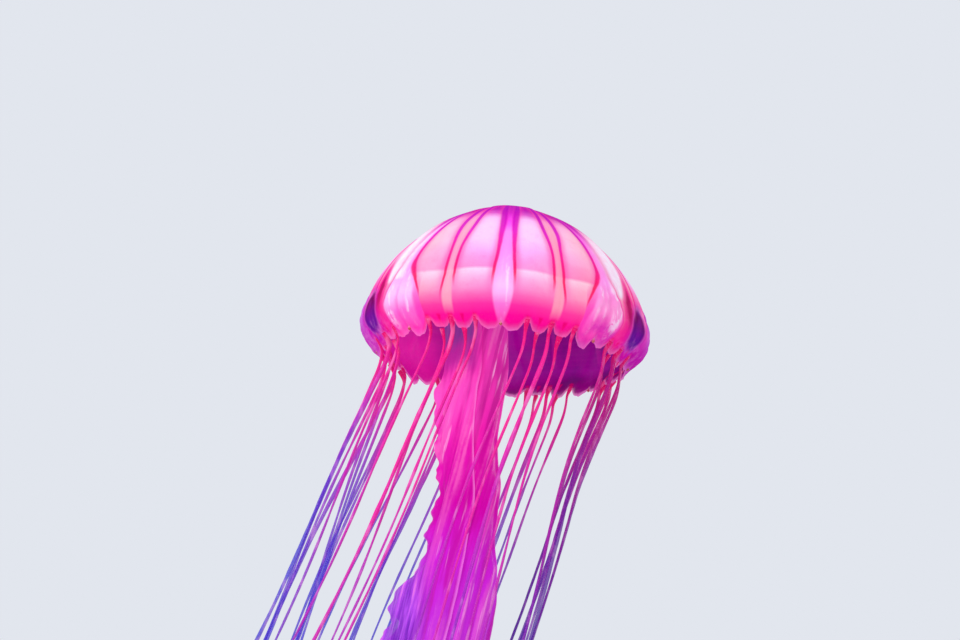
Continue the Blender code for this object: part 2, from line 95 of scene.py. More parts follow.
# --- arithmetic on arrays
def smooth_step(low: float, high: float, value: Array | float) -> Array | float:
    """An even S from 0 at low to 1 at high: t * t * (3 - 2t) of the clipped share t."""
    t = np.clip((value - low) / (high - low), 0.0, 1.0)
    return t * t * (3.0 - 2.0 * t)


@dataclass(frozen=True)
class Step:
    """An S step kept with its two ends and its height."""

    low: float
    high: float
    height: float = 1.0

    def __call__(self, value: Array | float) -> Array | float:
        """The step at the value."""
        return self.height * smooth_step(self.low, self.high, value)


@dataclass(frozen=True)
class Band:
    """An S step up between the first two numbers, and one down between the last two."""

    low: float
    full: float
    ends: float
    gone: float

    def __call__(self, value: Array | float) -> Array | float:
        """The band at the value."""
        return smooth_step(self.low, self.full, value) * smooth_step(self.gone, self.ends, value)


def hump(centre: float, width: float, value: Array | float) -> Array | float:
    """A bell curve of height 1: e to the minus square of the distance in widths."""
    return np.exp(-((value - centre) / width) ** 2)


def unit(vectors: Array) -> Array:
    """The vectors at a length of 1."""
    return vectors / np.maximum(np.linalg.norm(vectors, axis=-1, keepdims=True), 1e-9)


def ring(count: int) -> Array:
    """Even angles once round, in radians."""
    return 2 * np.pi * np.arange(count)[None] / count


def running(steps: Array) -> Array:
    """The running sum of the steps, from 0."""
    return np.concatenate([[0.0], np.cumsum(steps)])


def ripple(seed: int, *terms: Array) -> Array:
    """A lively but repeatable wave between about -1 and 1.

    Adds five sines whose frequencies and phases come from the seed, each of a mix of the terms
    1.35 times as fast and 1.2 times as low as the one before.

    Args:
        seed: picks the frequencies and phases.
        terms: the coordinates, already scaled so that one unit is about one wave.

    Returns:
        The wave at every point.
    """
    draw = np.random.default_rng(seed)
    total = 0.0
    for octave in range(RIPPLE_OCTAVES):
        angle = draw.uniform(0.0, 2 * np.pi)
        for term in terms:
            speed = draw.uniform(-1.0, 1.0) * RIPPLE_QUICKENS ** octave
            angle = angle + speed * 2 * np.pi * term
        total = total + np.sin(angle) / RIPPLE_LOWERS ** octave
    return total / RIPPLE_HEIGHT


def linear(red: int, green: int, blue: int) -> Triple:
    """A screen colour of 0 to 255 as linear light, by the usual 2.4 power curve."""
    shares = [value / 255.0 for value in (red, green, blue)]
    return tuple(s / 12.92 if s <= 0.04045 else ((s + 0.055) / 1.055) ** 2.4 for s in shares)


def placed(name: str, data: bpy.types.ID) -> bpy.types.Object:
    """A new object of the data, in the scene."""
    made = bpy.data.objects.new(name, data)
    bpy.context.scene.collection.objects.link(made)
    return made


# --- meshes
class SkinMesh:
    """Gathers closed grids of points and makes one piece of them.

    A grid has rows along the piece and columns round it, and is closed by a pole at each end.
    """

    def __init__(self) -> None:
        """Starts with no points."""
        self.points: list[Array] = []
        self.faces: list[list[int]] = []
        self.places: list[Array] = []
        self.marks: dict[str, list[Array]] = {}
        self.count = 0

    def add(self, grid: Array, along: Array, marks: dict[str, Array] | None = None,
            poles: tuple[Array, Array] | None = None) -> None:
        """Adds one closed grid, turned outwards.

        Args:
            grid: rows x columns x 3 points, the columns closing on themselves.
            along: values of the second map coordinate, rows x (columns + 1) or one column of
                them; the first coordinate is the turn.
            marks: named values at the points, rows x columns or anything that spreads to it.
            poles: the end points; the middles of the first and last rows if left out.
        """
        rows, columns = grid.shape[:2]
        first, last = poles if poles else (grid[0].mean(axis=0), grid[-1].mean(axis=0))
        points = np.concatenate([grid.reshape(-1, 3), first[None], last[None]])
        row = np.arange(rows - 1)[:, None]
        column = np.arange(columns)[None, :]
        after = (column + 1) % columns
        quads = np.stack([row * columns + column, (row + 1) * columns + column,
                          (row + 1) * columns + after, row * columns + after], axis=-1)
        quads = quads.reshape(-1, 4)
        ring, ring_after = column[0], after[0]
        base = (rows - 1) * columns
        top = np.stack([np.full(columns, rows * columns), ring, ring_after], axis=1)
        bottom = np.stack([base + ring, np.full(columns, rows * columns + 1),
                           base + ring_after], axis=1)
        turn = np.broadcast_to(np.arange(columns + 1) / columns, (rows, columns + 1))
        both = np.stack([turn, np.broadcast_to(along, turn.shape)], axis=-1)
        quad_map = np.stack([both[:-1, :-1], both[1:, :-1], both[1:, 1:], both[:-1, 1:]], axis=2)
        middle = (turn[0, :-1] + turn[0, 1:]) / 2
        start, end = (np.stack([middle, both[row, :-1, 1]], 1) for row in (0, -1))
        top_map = np.stack([start, both[0, :-1], both[0, 1:]], 1)
        bottom_map = np.stack([both[-1, :-1], end, both[-1, 1:]], 1)
        step = -1 if self._volume(points, quads, top, bottom) < 0 else 1
        for faces, places in ((quads, quad_map), (top, top_map), (bottom, bottom_map)):
            self.faces.extend((faces[:, ::step] + self.count).tolist())
            self.places.append(places[..., ::step, :].reshape(-1, 2))
        for name, values in (marks or {}).items():
            values = np.broadcast_to(values, (rows, columns))
            ends = [values[0].mean(), values[-1].mean()]
            self.marks.setdefault(name, []).append(np.concatenate([values.reshape(-1), ends]))
        self.points.append(points)
        self.count += len(points)

    @staticmethod
    def _volume(points: Array, quads: Array, top: Array, bottom: Array) -> float:
        """Six times the volume inside: the sum of each triangle's corners' triple product."""
        triangles = np.concatenate([quads[:, [0, 1, 2]], quads[:, [0, 2, 3]], top, bottom])
        a, b, c = (points[triangles[:, k]] for k in range(3))
        return float(np.einsum("ij,ij->", a, np.cross(b, c)))

    def settle(self, name: str, finish: Material, slot: Slot,
               nodes: list[str]) -> None:
        """Makes the piece at the origin, shaded smooth, and rides it on the body.

        Args:
            name: the piece's name.
            finish: its material.
            slot: the finish slot that it belongs to; not used.
            nodes: the solids that it stands for, which are hidden.
        """
        mesh = bpy.data.meshes.new(name)
        mesh.from_pydata(np.concatenate(self.points).tolist(), [], self.faces)
        mesh.materials.append(finish)
        mesh.shade_smooth()
        layer = mesh.uv_layers.new(name="Form")
        layer.data.foreach_set("uv", np.concatenate(self.places).astype(np.float32).ravel())
        for mark, values in self.marks.items():
            attribute = mesh.attributes.new(mark, "FLOAT", "POINT")
            attribute.data.foreach_set("value", np.concatenate(values).astype(np.float32))
        mesh.update()
        piece = placed(name, mesh)
        LOG.info("%s: %d points, %d faces", name, self.count, len(self.faces))
        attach(piece, "root")
        if nodes:
            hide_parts(*nodes)


# --- shader graphs
Value = Union["Signal", float]


class Signal:
    """A value in a shader graph.  Python's operators on it add Math nodes."""

    def __init__(self, graph: "Graph", socket: bpy.types.NodeSocket) -> None:
        """Wraps a node's output."""
        self.graph = graph
        self.socket = socket

    def _math(self, operation: str, *values: Value) -> "Signal":
        """One Math node of the values."""
        return self.graph.signal("ShaderNodeMath", {"operation": operation},
                                 dict(enumerate(values)))

    def __add__(self, other: Value) -> "Signal":
        """self + other."""
        return self._math("ADD", self, other)

    __radd__ = __add__

    def __sub__(self, other: Value) -> "Signal":
        """self - other."""
        return self._math("SUBTRACT", self, other)

    def __rsub__(self, other: Value) -> "Signal":
        """other - self."""
        return self._math("SUBTRACT", other, self)

    def __mul__(self, other: Value) -> "Signal":
        """self * other."""
        return self._math("MULTIPLY", self, other)

    __rmul__ = __mul__

    def __truediv__(self, other: Value) -> "Signal":
        """self / other."""
        return self._math("DIVIDE", self, other)

    def __abs__(self) -> "Signal":
        """The size of self without its sign."""
        return self._math("ABSOLUTE", self)

    def floor(self) -> "Signal":
        """The whole number below."""
        return self._math("FLOOR", self)

    def fraction(self) -> "Signal":
        """What is left over the whole number below."""
        return self._math("FRACT", self)

    def sine(self) -> "Signal":
        """The sine of self in radians."""
        return self._math("SINE", self)

    def least(self, other: Value) -> "Signal":
        """The lesser of the two."""
        return self._math("MINIMUM", self, other)

    def most(self, other: Value) -> "Signal":
        """The greater of the two."""
        return self._math("MAXIMUM", self, other)

    def hump(self, centre: Value, width: Value) -> "Signal":
        """A bell curve of height 1 round the centre."""
        distance = (self - centre) / width
        return self._math("EXPONENT", distance * distance * -1.0)

    def rise(self, low: Value, high: Value) -> "Signal":
        """An even S from 0 at low to 1 at high, or the other way where high is below low."""
        return self.graph.signal("ShaderNodeMapRange",
                                 {"interpolation_type": "SMOOTHSTEP", "clamp": True},
                                 {"Value": self, "From Min": low, "From Max": high,
                                  "To Min": 0.0, "To Max": 1.0})


class Graph:
    """A material and its node tree, with a Principled shader that stays its surface."""

    def __init__(self, name: str, **fixed: float | tuple) -> None:
        """Makes the material.

        Args:
            name: the material's name.
            fixed: the shader's constant sockets, their names with _ for a space.
        """
        self.material = bpy.data.materials.new(name)
        self.material.use_nodes = True
        self.tree = self.material.node_tree
        self.tree.nodes.clear()
        self.shader = self.tree.nodes.new("ShaderNodeBsdfPrincipled")
        output = self.tree.nodes.new("ShaderNodeOutputMaterial")
        self.tree.links.new(self.shader.outputs["BSDF"], output.inputs["Surface"])
        for socket, value in fixed.items():
            self.shader.inputs[socket.replace("_", " ")].default_value = value

    def node(self, kind: str, settings: dict | None = None,
             inputs: dict | None = None) -> bpy.types.Node:
        """Any node.

        Args:
            kind: the node's type.
            settings: its properties, set first; stops is a ramp's list of place and colour.
            inputs: values or signals for its sockets, by name or number.

        Returns:
            The new node.
        """
        made = self.tree.nodes.new(kind)
        for key, value in (settings or {}).items():
            if key == "stops":
                self._set_stops(made.color_ramp.elements, value)
            else:
                setattr(made, key, value)
        for key, value in (inputs or {}).items():
            if isinstance(value, Signal):
                self.tree.links.new(value.socket, made.inputs[key])
            else:
                made.inputs[key].default_value = value
        return made

    @staticmethod
    def _set_stops(elements: bpy.types.ColorRampElements, stops: Stops) -> None:
        """Gives a ramp these stops: each a place, red, green and blue."""
        while len(elements) < len(stops):
            elements.new(1.0)
        for element, (place, *colour) in zip(elements, stops):
            element.position = place
            element.color = (*linear(*colour), 1.0)

    def signal(self, kind: str, settings: dict | None = None, inputs: dict | None = None,
               output: int | str = 0) -> Signal:
        """A node's output, for use in an expression."""
        return Signal(self, self.node(kind, settings, inputs).outputs[output])

    def mark(self, name: str) -> Signal:
        """A named value that the mesh carries."""
        return self.signal("ShaderNodeAttribute", {"attribute_name": name}, None, "Fac")

    def marks(self, *names: str) -> list[Signal]:
        """Several named values at once."""
        return [self.mark(name) for name in names]

    def form(self) -> tuple[Signal, Signal]:
        """The two coordinates of the piece's own map: the turn, and the place along it."""
        place = self.signal("ShaderNodeUVMap", {"uv_map": "Form"})
        split = self.node("ShaderNodeSeparateXYZ", None, {0: place})
        return Signal(self, split.outputs[0]), Signal(self, split.outputs[1])

    def point(self, scale: Triple = (1.0, 1.0, 1.0)) -> Signal:
        """The place on the piece in metres, each axis stretched by the scale."""
        place = self.signal("ShaderNodeTexCoord", None, None, "Object")
        return self.signal("ShaderNodeVectorMath", {"operation": "MULTIPLY"},
                           {0: place, 1: scale})

    def noise(self, where: Signal, scale: float, detail: float = 3.0,
              roughness: float = 0.5) -> Signal:
        """Cloudy noise between 0 and 1."""
        return self.signal("ShaderNodeTexNoise", None,
                           {"Vector": where, "Scale": scale, "Detail": detail,
                            "Roughness": roughness}, "Fac")

    def ramp(self, where: Signal, stops: Stops, top: float = 1.0) -> Signal:
        """Colours along a value of 0 to 1, their stops being given on a scale of 0 to top."""
        scaled = tuple((place / top, *colour) for place, *colour in stops)
        return self.signal("ShaderNodeValToRGB", {"stops": scaled}, {"Fac": where})

    def mix(self, share: Value, first: Signal | Colour,
            second: Signal | Colour) -> Signal:
        """The second colour over the first, by a share of 0 to 1."""
        first, second = (colour if isinstance(colour, Signal) else (*linear(*colour), 1.0)
                         for colour in (first, second))
        return self.signal("ShaderNodeMix", {"data_type": "RGBA", "clamp_factor": True},
                           {0: share, 6: first, 7: second}, 2)

    def bump(self, height: Signal, distance: float, strength: float = 1.0) -> Signal:
        """A normal from a height, distance being the rise in metres for a height of 1."""
        return self.signal("ShaderNodeBump", None,
                           {"Height": height, "Distance": distance, "Strength": strength},
                           "Normal")

    def join(self, **varying: Signal) -> Material:
        """Links signals to the shader's sockets, their names with _ for a space."""
        for socket, value in varying.items():
            self.tree.links.new(value.socket, self.shader.inputs[socket.replace("_", " ")])
        return self.material

    def glow(self, colour: Signal, dim: float, **varying: Signal) -> Material:
        """Joins with a colour that shines too, a painted glow on flesh; dim is black's share of what
        is lit.
        """
        return self.join(Base_Color=self.mix(dim, colour, BLACK), Emission_Color=colour, **varying)


class Coats:
    """A colour built up in coats, each over the ones before."""

    def __init__(self, graph: Graph, first: Signal | Colour) -> None:
        """Starts from the first coat."""
        self.graph = graph
        self.colour = first

    def add(self, share: Value, colour: Signal | Colour) -> None:
        """Lays a colour over what is there, by a share of 0 to 1."""
        self.colour = self.graph.mix(share, self.colour, colour)


# --- the bell's form
@dataclass(frozen=True)
class BellForm:
    """The bell's sizes and the formulas of its walls.

    A station says how far down the wall a point lies: 0 at the crown, 1 at the widest level and
    1 + depth on the margin, whose depth is 1 in the rim plane and 1.2 at the lappets' tips.
    """

    rim_centre: Triple = (0.014, 0.0, 0.560)
    lean_right: float = math.radians(4.5)
    lean_back: float = math.radians(5.0)
    phase: float = -1.5
    radius: float = 0.0904
    rim_radius: float = 0.0775
    widest_height: float = 0.0211
    dome_height: float = 0.0817
    dome_power: float = 1.704
    crown_thickness: float = 0.009
    wall_thickness: float = 0.003
    lappet_thickness: float = 0.0016
    lobe_swell: float = 0.012
    rim_turn: float = 1.18
    cleft_depth: float = 0.84
    lappet_depth: float = 1.20
    lappet_span: float = 11.25
    root_half_span: float = 1.35
    root_step: float = 5.625
    roots_aside: float = 2.0
    swell_heights: Step = Step(0.065, 0.020)
    rim_power: int = 6
    profile_points: int = 2201

    def pose(self) -> Array:
        """The 4 x 4 matrix that sets the bell's own frame at the rim, leaning right and back."""
        return np.array(Matrix.Translation(self.rim_centre)
                        @ Matrix.Rotation(self.lean_right, 4, "Y")
                        @ Matrix.Rotation(-self.lean_back, 4, "X"))

    def turned(self, vectors: Array) -> Array:
        """Directions of the bell's frame as directions of the world."""
        return vectors @ self.pose()[:3, :3].T

    def place(self, points: Array) -> Array:
        """Points of the bell's frame as points of the world."""
        return self.turned(points) + self.pose()[:3, 3]

    def point(self, angle: Array, radius: Array, height: Array) -> Array:
        """Points in the bell's frame: (r sin a, -r cos a, z), with r swollen over the organs.

        Args:
            angle: degrees from the front towards the right.
            radius: distance from the bell's axis before the swelling.
            height: above the rim plane.

        Returns:
            The points, with a last axis of three.
        """
        swell = self.lobe_swell * np.cos(np.radians(OCTANTS * (angle - self.phase)))
        r = radius * (1.0 + swell * self.swell_heights(height))
        a = np.radians(angle)
        return np.stack(np.broadcast_arrays(r * np.sin(a), -r * np.cos(a), height), axis=-1)

    def outer(self, station: Array) -> tuple[Array, Array]:
        """Radius and height of the outer wall.

        The dome is a superellipse, sine and cosine each to the power 2 / 1.704.  Below the widest
        level the wall turns in as 1.18 d^2 / (1 + 0.18 d^6).
        """
        a = np.radians(90.0 * np.clip(station, 0.0, 1.0))
        depth = np.clip(station - 1.0, 0.0, None)
        power = 2.0 / self.dome_power
        flattens = 1.0 + (self.rim_turn - 1.0) * depth ** self.rim_power
        inward = self.rim_turn * depth ** 2 / flattens
        radius = self.radius * np.sin(a) ** power - (self.radius - self.rim_radius) * inward
        dome = self.dome_height * np.abs(np.cos(a)) ** power
        return radius, np.where(station > 1.0, 0.0, dome) + self.widest_height * (1.0 - depth)

    def lining(self, station: Array) -> tuple[Array, Array]:
        """Radius and height of the dome's lining, the same form on smaller sizes."""
        a = np.radians(90.0 * np.clip(station, 0.0, 1.0))
        power = 2.0 / self.dome_power
        radius = (self.radius - self.wall_thickness) * np.sin(a) ** power
        depth = self.dome_height - self.crown_thickness
        return radius, self.widest_height + depth * np.abs(np.cos(a)) ** power

    def thickness(self, depth: Array) -> Array:
        """The margin's wall, thinning evenly from the widest level to the lappets' tips."""
        thins = self.lappet_thickness - self.wall_thickness
        return self.wall_thickness + thins * depth / self.lappet_depth

    def octant_offset(self, angle: Array) -> Array:
        """Degrees from the middle of the octant, between two sense organs."""
        return np.mod(angle - self.phase, OCTANT) - OCTANT / 2

    def organ_offset(self, angle: Array) -> Array:
        """Degrees from the nearest sense organ."""
        return np.mod(angle - self.phase + OCTANT / 2, OCTANT) - OCTANT / 2

    @staticmethod
    def ways(angle: float) -> tuple[Array, Array]:
        """The directions across and outwards at an angle, in the bell's frame."""
        a = math.radians(angle)
        return np.array([math.cos(a), math.sin(a), 0.0]), np.array([math.sin(a), -math.cos(a), 0.0])

    def hang(self, depth: Array) -> Array:
        """How far an edge's depth goes from a cleft's, 0, to a lappet's tip, 1."""
        return (depth - self.cleft_depth) / (self.lappet_depth - self.cleft_depth)

    def down(self, station: Array) -> Array:
        """Metres down the outer wall from the widest level, summed along its profile."""
        marks = np.linspace(0.0, DEEPEST, self.profile_points)
        radius, height = self.outer(marks)
        run = running(np.hypot(np.diff(radius), np.diff(height)))
        return np.interp(station, marks, run - np.interp(1.0, marks, run))

    def edge_depth(self, angle: Array) -> Array:
        """How deep the margin's edge hangs: a root of a sine arch over each lappet."""
        d = np.abs(self.octant_offset(angle))
        inner = d < self.lappet_span
        low = np.where(inner, self.root_half_span, self.lappet_span + self.root_half_span)
        high = np.where(inner, self.lappet_span - self.root_half_span, 2 * self.lappet_span)
        t = np.clip((d - low) / (high - low), 0.0, 1.0)
        return self.cleft_depth + (self.lappet_depth - self.cleft_depth) * np.sin(np.pi * t) ** 0.5


FORM = BellForm()


@dataclass(frozen=True)
class Pattern:
    """Where the paired stripes, the pale petals and the clear places lie.

    Their outlines follow the way down the wall in metres, 0 at the widest level.
    """

    pair_span: float = 22.5
    petal_flare: tuple[float, ...] = (0.0, 1.0, 0.8, 0.95, 0.7, 0.9, 0.85, 1.0)
    clear_lens: tuple[float, ...] = (4.4, 6.4, 0.0025, 0.0135)
    shade_lens: tuple[float, ...] = (-5.6, 4.0, -0.0075, 0.0130)
    sheen_middle: float = 52.0
    sheen_half: float = 8.4
    sheen_soft: float = 0.45
    sheen_fall: Band = Band(-0.085, -0.042, -0.0125, -0.0090)
    lens_narrows: Step = Step(0.0, -1.2, 0.9)
    lens_front: float = 44.0
    lens_none: float = -9.0
    organ_spread: float = 3.15
    organ_crown: Step = Step(-0.050, -0.105, 2.3)
    petal_spread: Span = (1.05, 0.3)
    petal_fall: Step = Step(-0.036, -0.004)
    flare_spread: Step = Step(-0.024, 0.010, 6.9)
    tip_fall: Span = (0.001, 0.028)
    flared_closes: float = 0.45
    plain_power: float = 1.7
    tentacle_spread: float = 2.15
    tentacle_crown: Step = Step(-0.026, -0.060, 1.7)
    tentacle_low: Step = Step(-0.010, 0.004, 0.7)

    def flare(self, angle: Array) -> Array:
        """How far the petal over the nearest sense organ flares, 0 to 1, one value each."""
        return np.array(self.petal_flare)[self.organ_index(angle)]

    @staticmethod
    def organ_index(angle: Array) -> Array:
        """Which sense organ is the nearest, 0 to 7."""
        return np.round((angle - FORM.phase) / OCTANT).astype(int) % OCTANTS

    def pair_offset(self, angle: Array) -> Array:
        """Degrees from the nearest pair's middle."""
        half = self.pair_span / 2
        return np.mod(angle - FORM.phase + half, self.pair_span) - half

    def is_organ(self, angle: Array) -> Array:
        """1 where the nearest pair lies over a sense organ, 0 over a tentacle."""
        return (np.abs(FORM.organ_offset(angle)) < self.pair_span / 2).astype(float)

    def spread(self, down: Array, angle: Array) -> Array:
        """Degrees from a pair's middle to each of its stripes.

        Both kinds draw together down the dome.  An organ's pair then parts round its petal, more
        where the petal flares, and closes at the petal's tip; a tentacle's pair stays close.

        Args:
            down: metres down the wall from the widest level.
            angle: degrees round the bell.

        Returns:
            Degrees.
        """
        flare = self.flare(angle)
        plain, more = self.petal_spread
        organ = self.organ_spread + self.organ_crown(down)
        organ = organ + (plain + more * flare) * self.petal_fall(down)
        organ = organ + flare * self.flare_spread(down)
        start, end = self.tip_fall
        closes = np.clip((down - start) / (end - start), 0.0, 1.0)
        flared = 1.0 - self.flared_closes * closes ** 3
        organ = organ * np.where(flare > 0.0, flared, 1.0 - closes ** self.plain_power)
        tentacle = self.tentacle_spread + self.tentacle_crown(down) + self.tentacle_low(down)
        return np.where(self.is_organ(angle) > 0.5, organ, tentacle)

    def outward(self, angle: Array) -> Array:
        """1 for the petals whose side away from the front is clockwise, -1 for the others."""
        return np.where(self.organ_index(angle) > OCTANTS // 2, -1.0, 1.0)

    @staticmethod
    def aside(angle: Array) -> Array:
        """Degrees away from the front, to either side."""
        return np.abs(np.mod(angle + 180.0, 360.0) - 180.0)

    def lens(self, down: Array, angle: Array, aside: float, half: float, middle: float,
             reach: float) -> Array:
        """A lens between two petals: 1 in its middle, 0 at its edge and below 0 outside.

        It is one less the squares of the shares of its half width and its reach, and narrower
        towards the top.  The front has none.

        Args:
            down: metres down the wall from the widest level.
            angle: degrees round the bell.
            aside: degrees from the octant's middle, away from the front.
            half: half its width in degrees.
            middle: metres down the wall.
            reach: metres from its middle to its top.

        Returns:
            The lens's value.
        """
        away = np.where(np.mod(angle, 360.0) > 180.0, -1.0, 1.0)
        across = (FORM.octant_offset(angle) * away - aside) / half
        along = (down - middle) / reach
        narrow = 1.0 + self.lens_narrows(along)
        value = 1.0 - across ** 2 * narrow - along ** 2
        return np.where(self.aside(angle) > self.lens_front, value, self.lens_none)

    def window(self, down: Array, angle: Array) -> Array:
        """The clear violet lenses round the widest level."""
        return self.lens(down, angle, *self.clear_lens)

    def shade(self, down: Array, angle: Array) -> Array:
        """The narrow dark lenses between the clear ones and the petals."""
        return self.lens(down, angle, *self.shade_lens)

    def sheen(self, down: Array, angle: Array) -> Array:
        """The painted sheen beside the side petals, a white highlight: S steps across and along the
        wall.
        """
        aside = self.aside(angle)
        aside = np.abs(np.minimum(aside, 180.0 - aside) - self.sheen_middle)
        across = smooth_step(self.sheen_half, self.sheen_soft * self.sheen_half, aside)
        return across * self.sheen_fall(down)


PATTERN = Pattern()


# --- the bell's skin
@dataclass
class Bell:
    """The bell and its margin in one skin, from the crown over the lappets to the vault."""

    columns: int = 480
    dome_rows: int = 92
    margin_rows: int = 38
    lining_margin_rows: int = 26
    lining_rows: int = 36
    petal_swell: float = 0.0015
    petal_folds: tuple[Triple, ...] = (
        (-0.50, 0.17, 0.75), (-0.16, 0.12, 0.55), (0.46, 0.33, 1.0))
    fold_height: float = 0.0019
    ruffle: float = 0.00042
    ring_step: float = 0.0004
    lappet_cup: float = 0.0013
    lappet_flutter: float = 0.0008
    edge_crinkle: float = 0.030
    fold_depth: float = 0.0010
    septum_height: float = 0.0013
    edge_share: float = 0.42
    edge_power: int = 6
    panel_level: float = 0.6
    panel_swell: Step = Step(-0.105, -0.055, 0.0008)
    panel_calms: Step = Step(-0.006, 0.012, 0.8)
    petal_wide: Span = (0.9, 0.8)
    petal_falls: Band = Band(-0.050, -0.006, 0.012, 0.0285)
    petal_height: Span = (0.45, 0.55)
    petal_level: float = 0.35
    folds_fall: Band = Band(-0.030, 0.002, 0.020, 0.031)
    folds_wide: float = 12.5
    ruffle_wide: float = 9.5
    ruffle_scales: Span = (2.6, 0.0075)
    ring_fall: float = -0.0105
    ring_width: float = 0.0022
    cup_flattens: float = 0.75
    lappet_lift: float = 0.0016
    lappet_level: float = 0.35
    root_dent: float = 0.6
    root_dent_wide: float = 1.4
    flutter_scales: Span = (13.0, 1.3)
    cloud_scales: Span = (1.1, 0.9)
    unevenness: Step = Step(0.05, 0.5, 0.0005)
    fan_span: Span = (4.2, 7.8)
    fan_fall: Step = Step(-0.034, 0.014)
    fan_flare: Span = (0.75, 0.25)
    plain_fan: float = 3.4
    fold_sway: float = 0.07
    sway_scale: float = 0.0065
    sway_phase: float = 9.0
    meet_share: float = 0.82
    lappet_lean: float = 1.5
    lappet_power: float = 1.1
    lappet_least: float = 0.42
    crinkle_scale: float = 3.0
    crinkle_least: float = 0.35
    shallowest: float = 0.78
    look_ahead: float = 0.004
    margin_power: float = 0.92
    vault_blend: Step = Step(0.80, 1.0)
    vault_flat: float = 0.35
    septum_wide: float = 1.3
    septum_stations: Band = Band(0.30, 0.55, 0.92, 1.0)
    ribs: float = 26.0
    rib_share: float = 0.25
    ribs_begin: Step = Step(0.55, 0.70)
    flank: Step = Step(50.0, 74.0)
    shown: Step = Step(86.0, 104.0, 0.66)
    verge: Band = Band(77.0, 84.0, 98.0, 112.0)
    outer_fall: Step = Step(-0.080, -0.040)

    def relief(self, station: Array, angle: Array) -> Array:
        """How far the outer wall stands proud of its plain form.

        Panels swell as one less a cosine between the pairs.  Petals swell as a bell curve across.
        A flared petal also has three folds, bell curves across whose middles fan out down the
        wall.  Lappets cup outwards as a sine arch, and their edges flutter.

        Args:
            station: place down the wall.
            angle: degrees round the bell.

        Returns:
            Metres outwards.
        """
        down = FORM.down(station)
        organ = FORM.organ_offset(angle)
        flare = PATTERN.flare(angle)
        panel = 0.5 - 0.5 * np.cos(2 * np.pi * PATTERN.pair_offset(angle) / PATTERN.pair_span)
        high = (panel - self.panel_level) * self.panel_swell(down)
        high = high * (1.0 - self.panel_calms(down))
        share, more = self.petal_wide
        petal = hump(0.0, PATTERN.spread(down, angle) * share + more, organ)
        petal = petal * self.petal_falls(down)
        plain, flared = self.petal_height
        proud = (plain + flared * flare) * (petal - self.petal_level * flare)
        high = high + self.petal_swell * proud
        shown = self.folds_fall(down)
        folds = (self._folds(down, angle) - 0.5) * shown * hump(0.0, self.folds_wide, organ)
        high = high + self.fold_height * flare * folds
        ruffles = ripple(23, angle / self.ruffle_scales[0], down / self.ruffle_scales[1])
        high = high + self.ruffle * ruffles * flare * shown * hump(0.0, self.ruffle_wide, organ)
        high = high - self.ring_step * hump(self.ring_fall, self.ring_width, down)
        depth = self.edge_depth(angle)
        share = np.clip((station - 1.0) / depth, 0.0, 1.0)
        hang = FORM.hang(depth)
        low = share ** 2
        high = high + self.lappet_cup * hang * low * (1.0 - self.cup_flattens * low)
        lifted = self._lappet(angle, 1) - self.lappet_level
        high = high + self.lappet_lift * lifted * hang * share ** 4
        dent = self.root_dent * hump(0.0, self.root_dent_wide, self._root_offset(angle))
        high = high - self.lappet_cup * dent * low
        wide, deep = self.flutter_scales
        flutter = ripple(5, angle / wide, station * deep) * share ** 3
        high = high + self.lappet_flutter * flutter * (0.5 + hang)
        wide, deep = self.cloud_scales
        turn = np.radians(angle)
        clouds = ripple(11, np.sin(turn) * wide, np.cos(turn) * wide, station * deep)
        return high + clouds * self.unevenness(station)

    def _folds(self, down: Array, angle: Array) -> Array:
        """The height of a petal's folds, about 0 to 1: bell curves that fan out down the wall."""
        organ = FORM.organ_offset(angle)
        flare = PATTERN.flare(angle)
        start, more = self.fan_span
        plain, flared = self.fan_flare
        fan = (start + more * self.fan_fall(down)) * (plain + flared * flare)
        fan = np.where(flare > 0.0, fan, self.plain_fan)
        sway = self.fold_sway * fan * np.sin(down / self.sway_scale + self.sway_phase * flare)
        away = PATTERN.outward(angle)
        return sum(high * hump(away * place * fan + sway, broad * fan, organ)
                   for place, broad, high in self.petal_folds)

    def _lappet(self, angle: Array, choice: int) -> Array:
        """A number of 0 to 1 for the lappet at each angle, blended where two lappets meet."""
        draws = np.random.default_rng(70 + choice).random(4 * OCTANTS)
        place = np.mod(angle - FORM.phase, 360.0) / FORM.lappet_span
        index = np.floor(place).astype(int)
        share = smooth_step(self.meet_share, 1.0, place - index)
        return draws[index % len(draws)] * (1.0 - share) + draws[(index + 1) % len(draws)] * share

    def edge_depth(self, angle: Array) -> Array:
        """How deep the skin's edge hangs: the plain arches, some shorter, leaning and crinkled."""
        lean = self.lappet_lean * (self._lappet(angle, 2) - 0.5)
        bend = np.sin(np.pi * np.mod(angle - FORM.phase, FORM.lappet_span) / FORM.lappet_span)
        depth = FORM.edge_depth(angle + lean * bend)
        length = self.lappet_least + (1.0 - self.lappet_least) * self._lappet(angle, 3)
        hang = FORM.hang(depth) ** self.lappet_power * length
        crinkle = ripple(31, angle / self.crinkle_scale) * (self.crinkle_least + hang)
        edge = FORM.cleft_depth + (FORM.lappet_depth - FORM.cleft_depth) * hang
        return np.clip(edge + self.edge_crinkle * crinkle, self.shallowest, FORM.lappet_depth)

    @staticmethod
    def _root_offset(angle: Array) -> Array:
        """Degrees from the nearest tentacle's root: five to an octant, 5.625 degrees apart."""
        offset = FORM.octant_offset(angle)
        place = np.round(offset / FORM.root_step)
        return offset - FORM.root_step * np.clip(place, -FORM.roots_aside, FORM.roots_aside)

    def _outer(self, station: Array, angle: Array) -> tuple[Array, Array]:
        """The outer wall in the bell's frame, moved along its own normal, and that normal."""
        plain = FORM.point(angle, *FORM.outer(station))
        ahead = FORM.point(angle, *FORM.outer(station + self.look_ahead))
        down = ahead - plain
        a = np.radians(angle)
        across = np.stack(np.broadcast_arrays(np.cos(a), np.sin(a), 0.0 * station), axis=-1)
        normal = unit(np.cross(down, across))
        return plain + normal * self.relief(station, angle)[..., None], normal

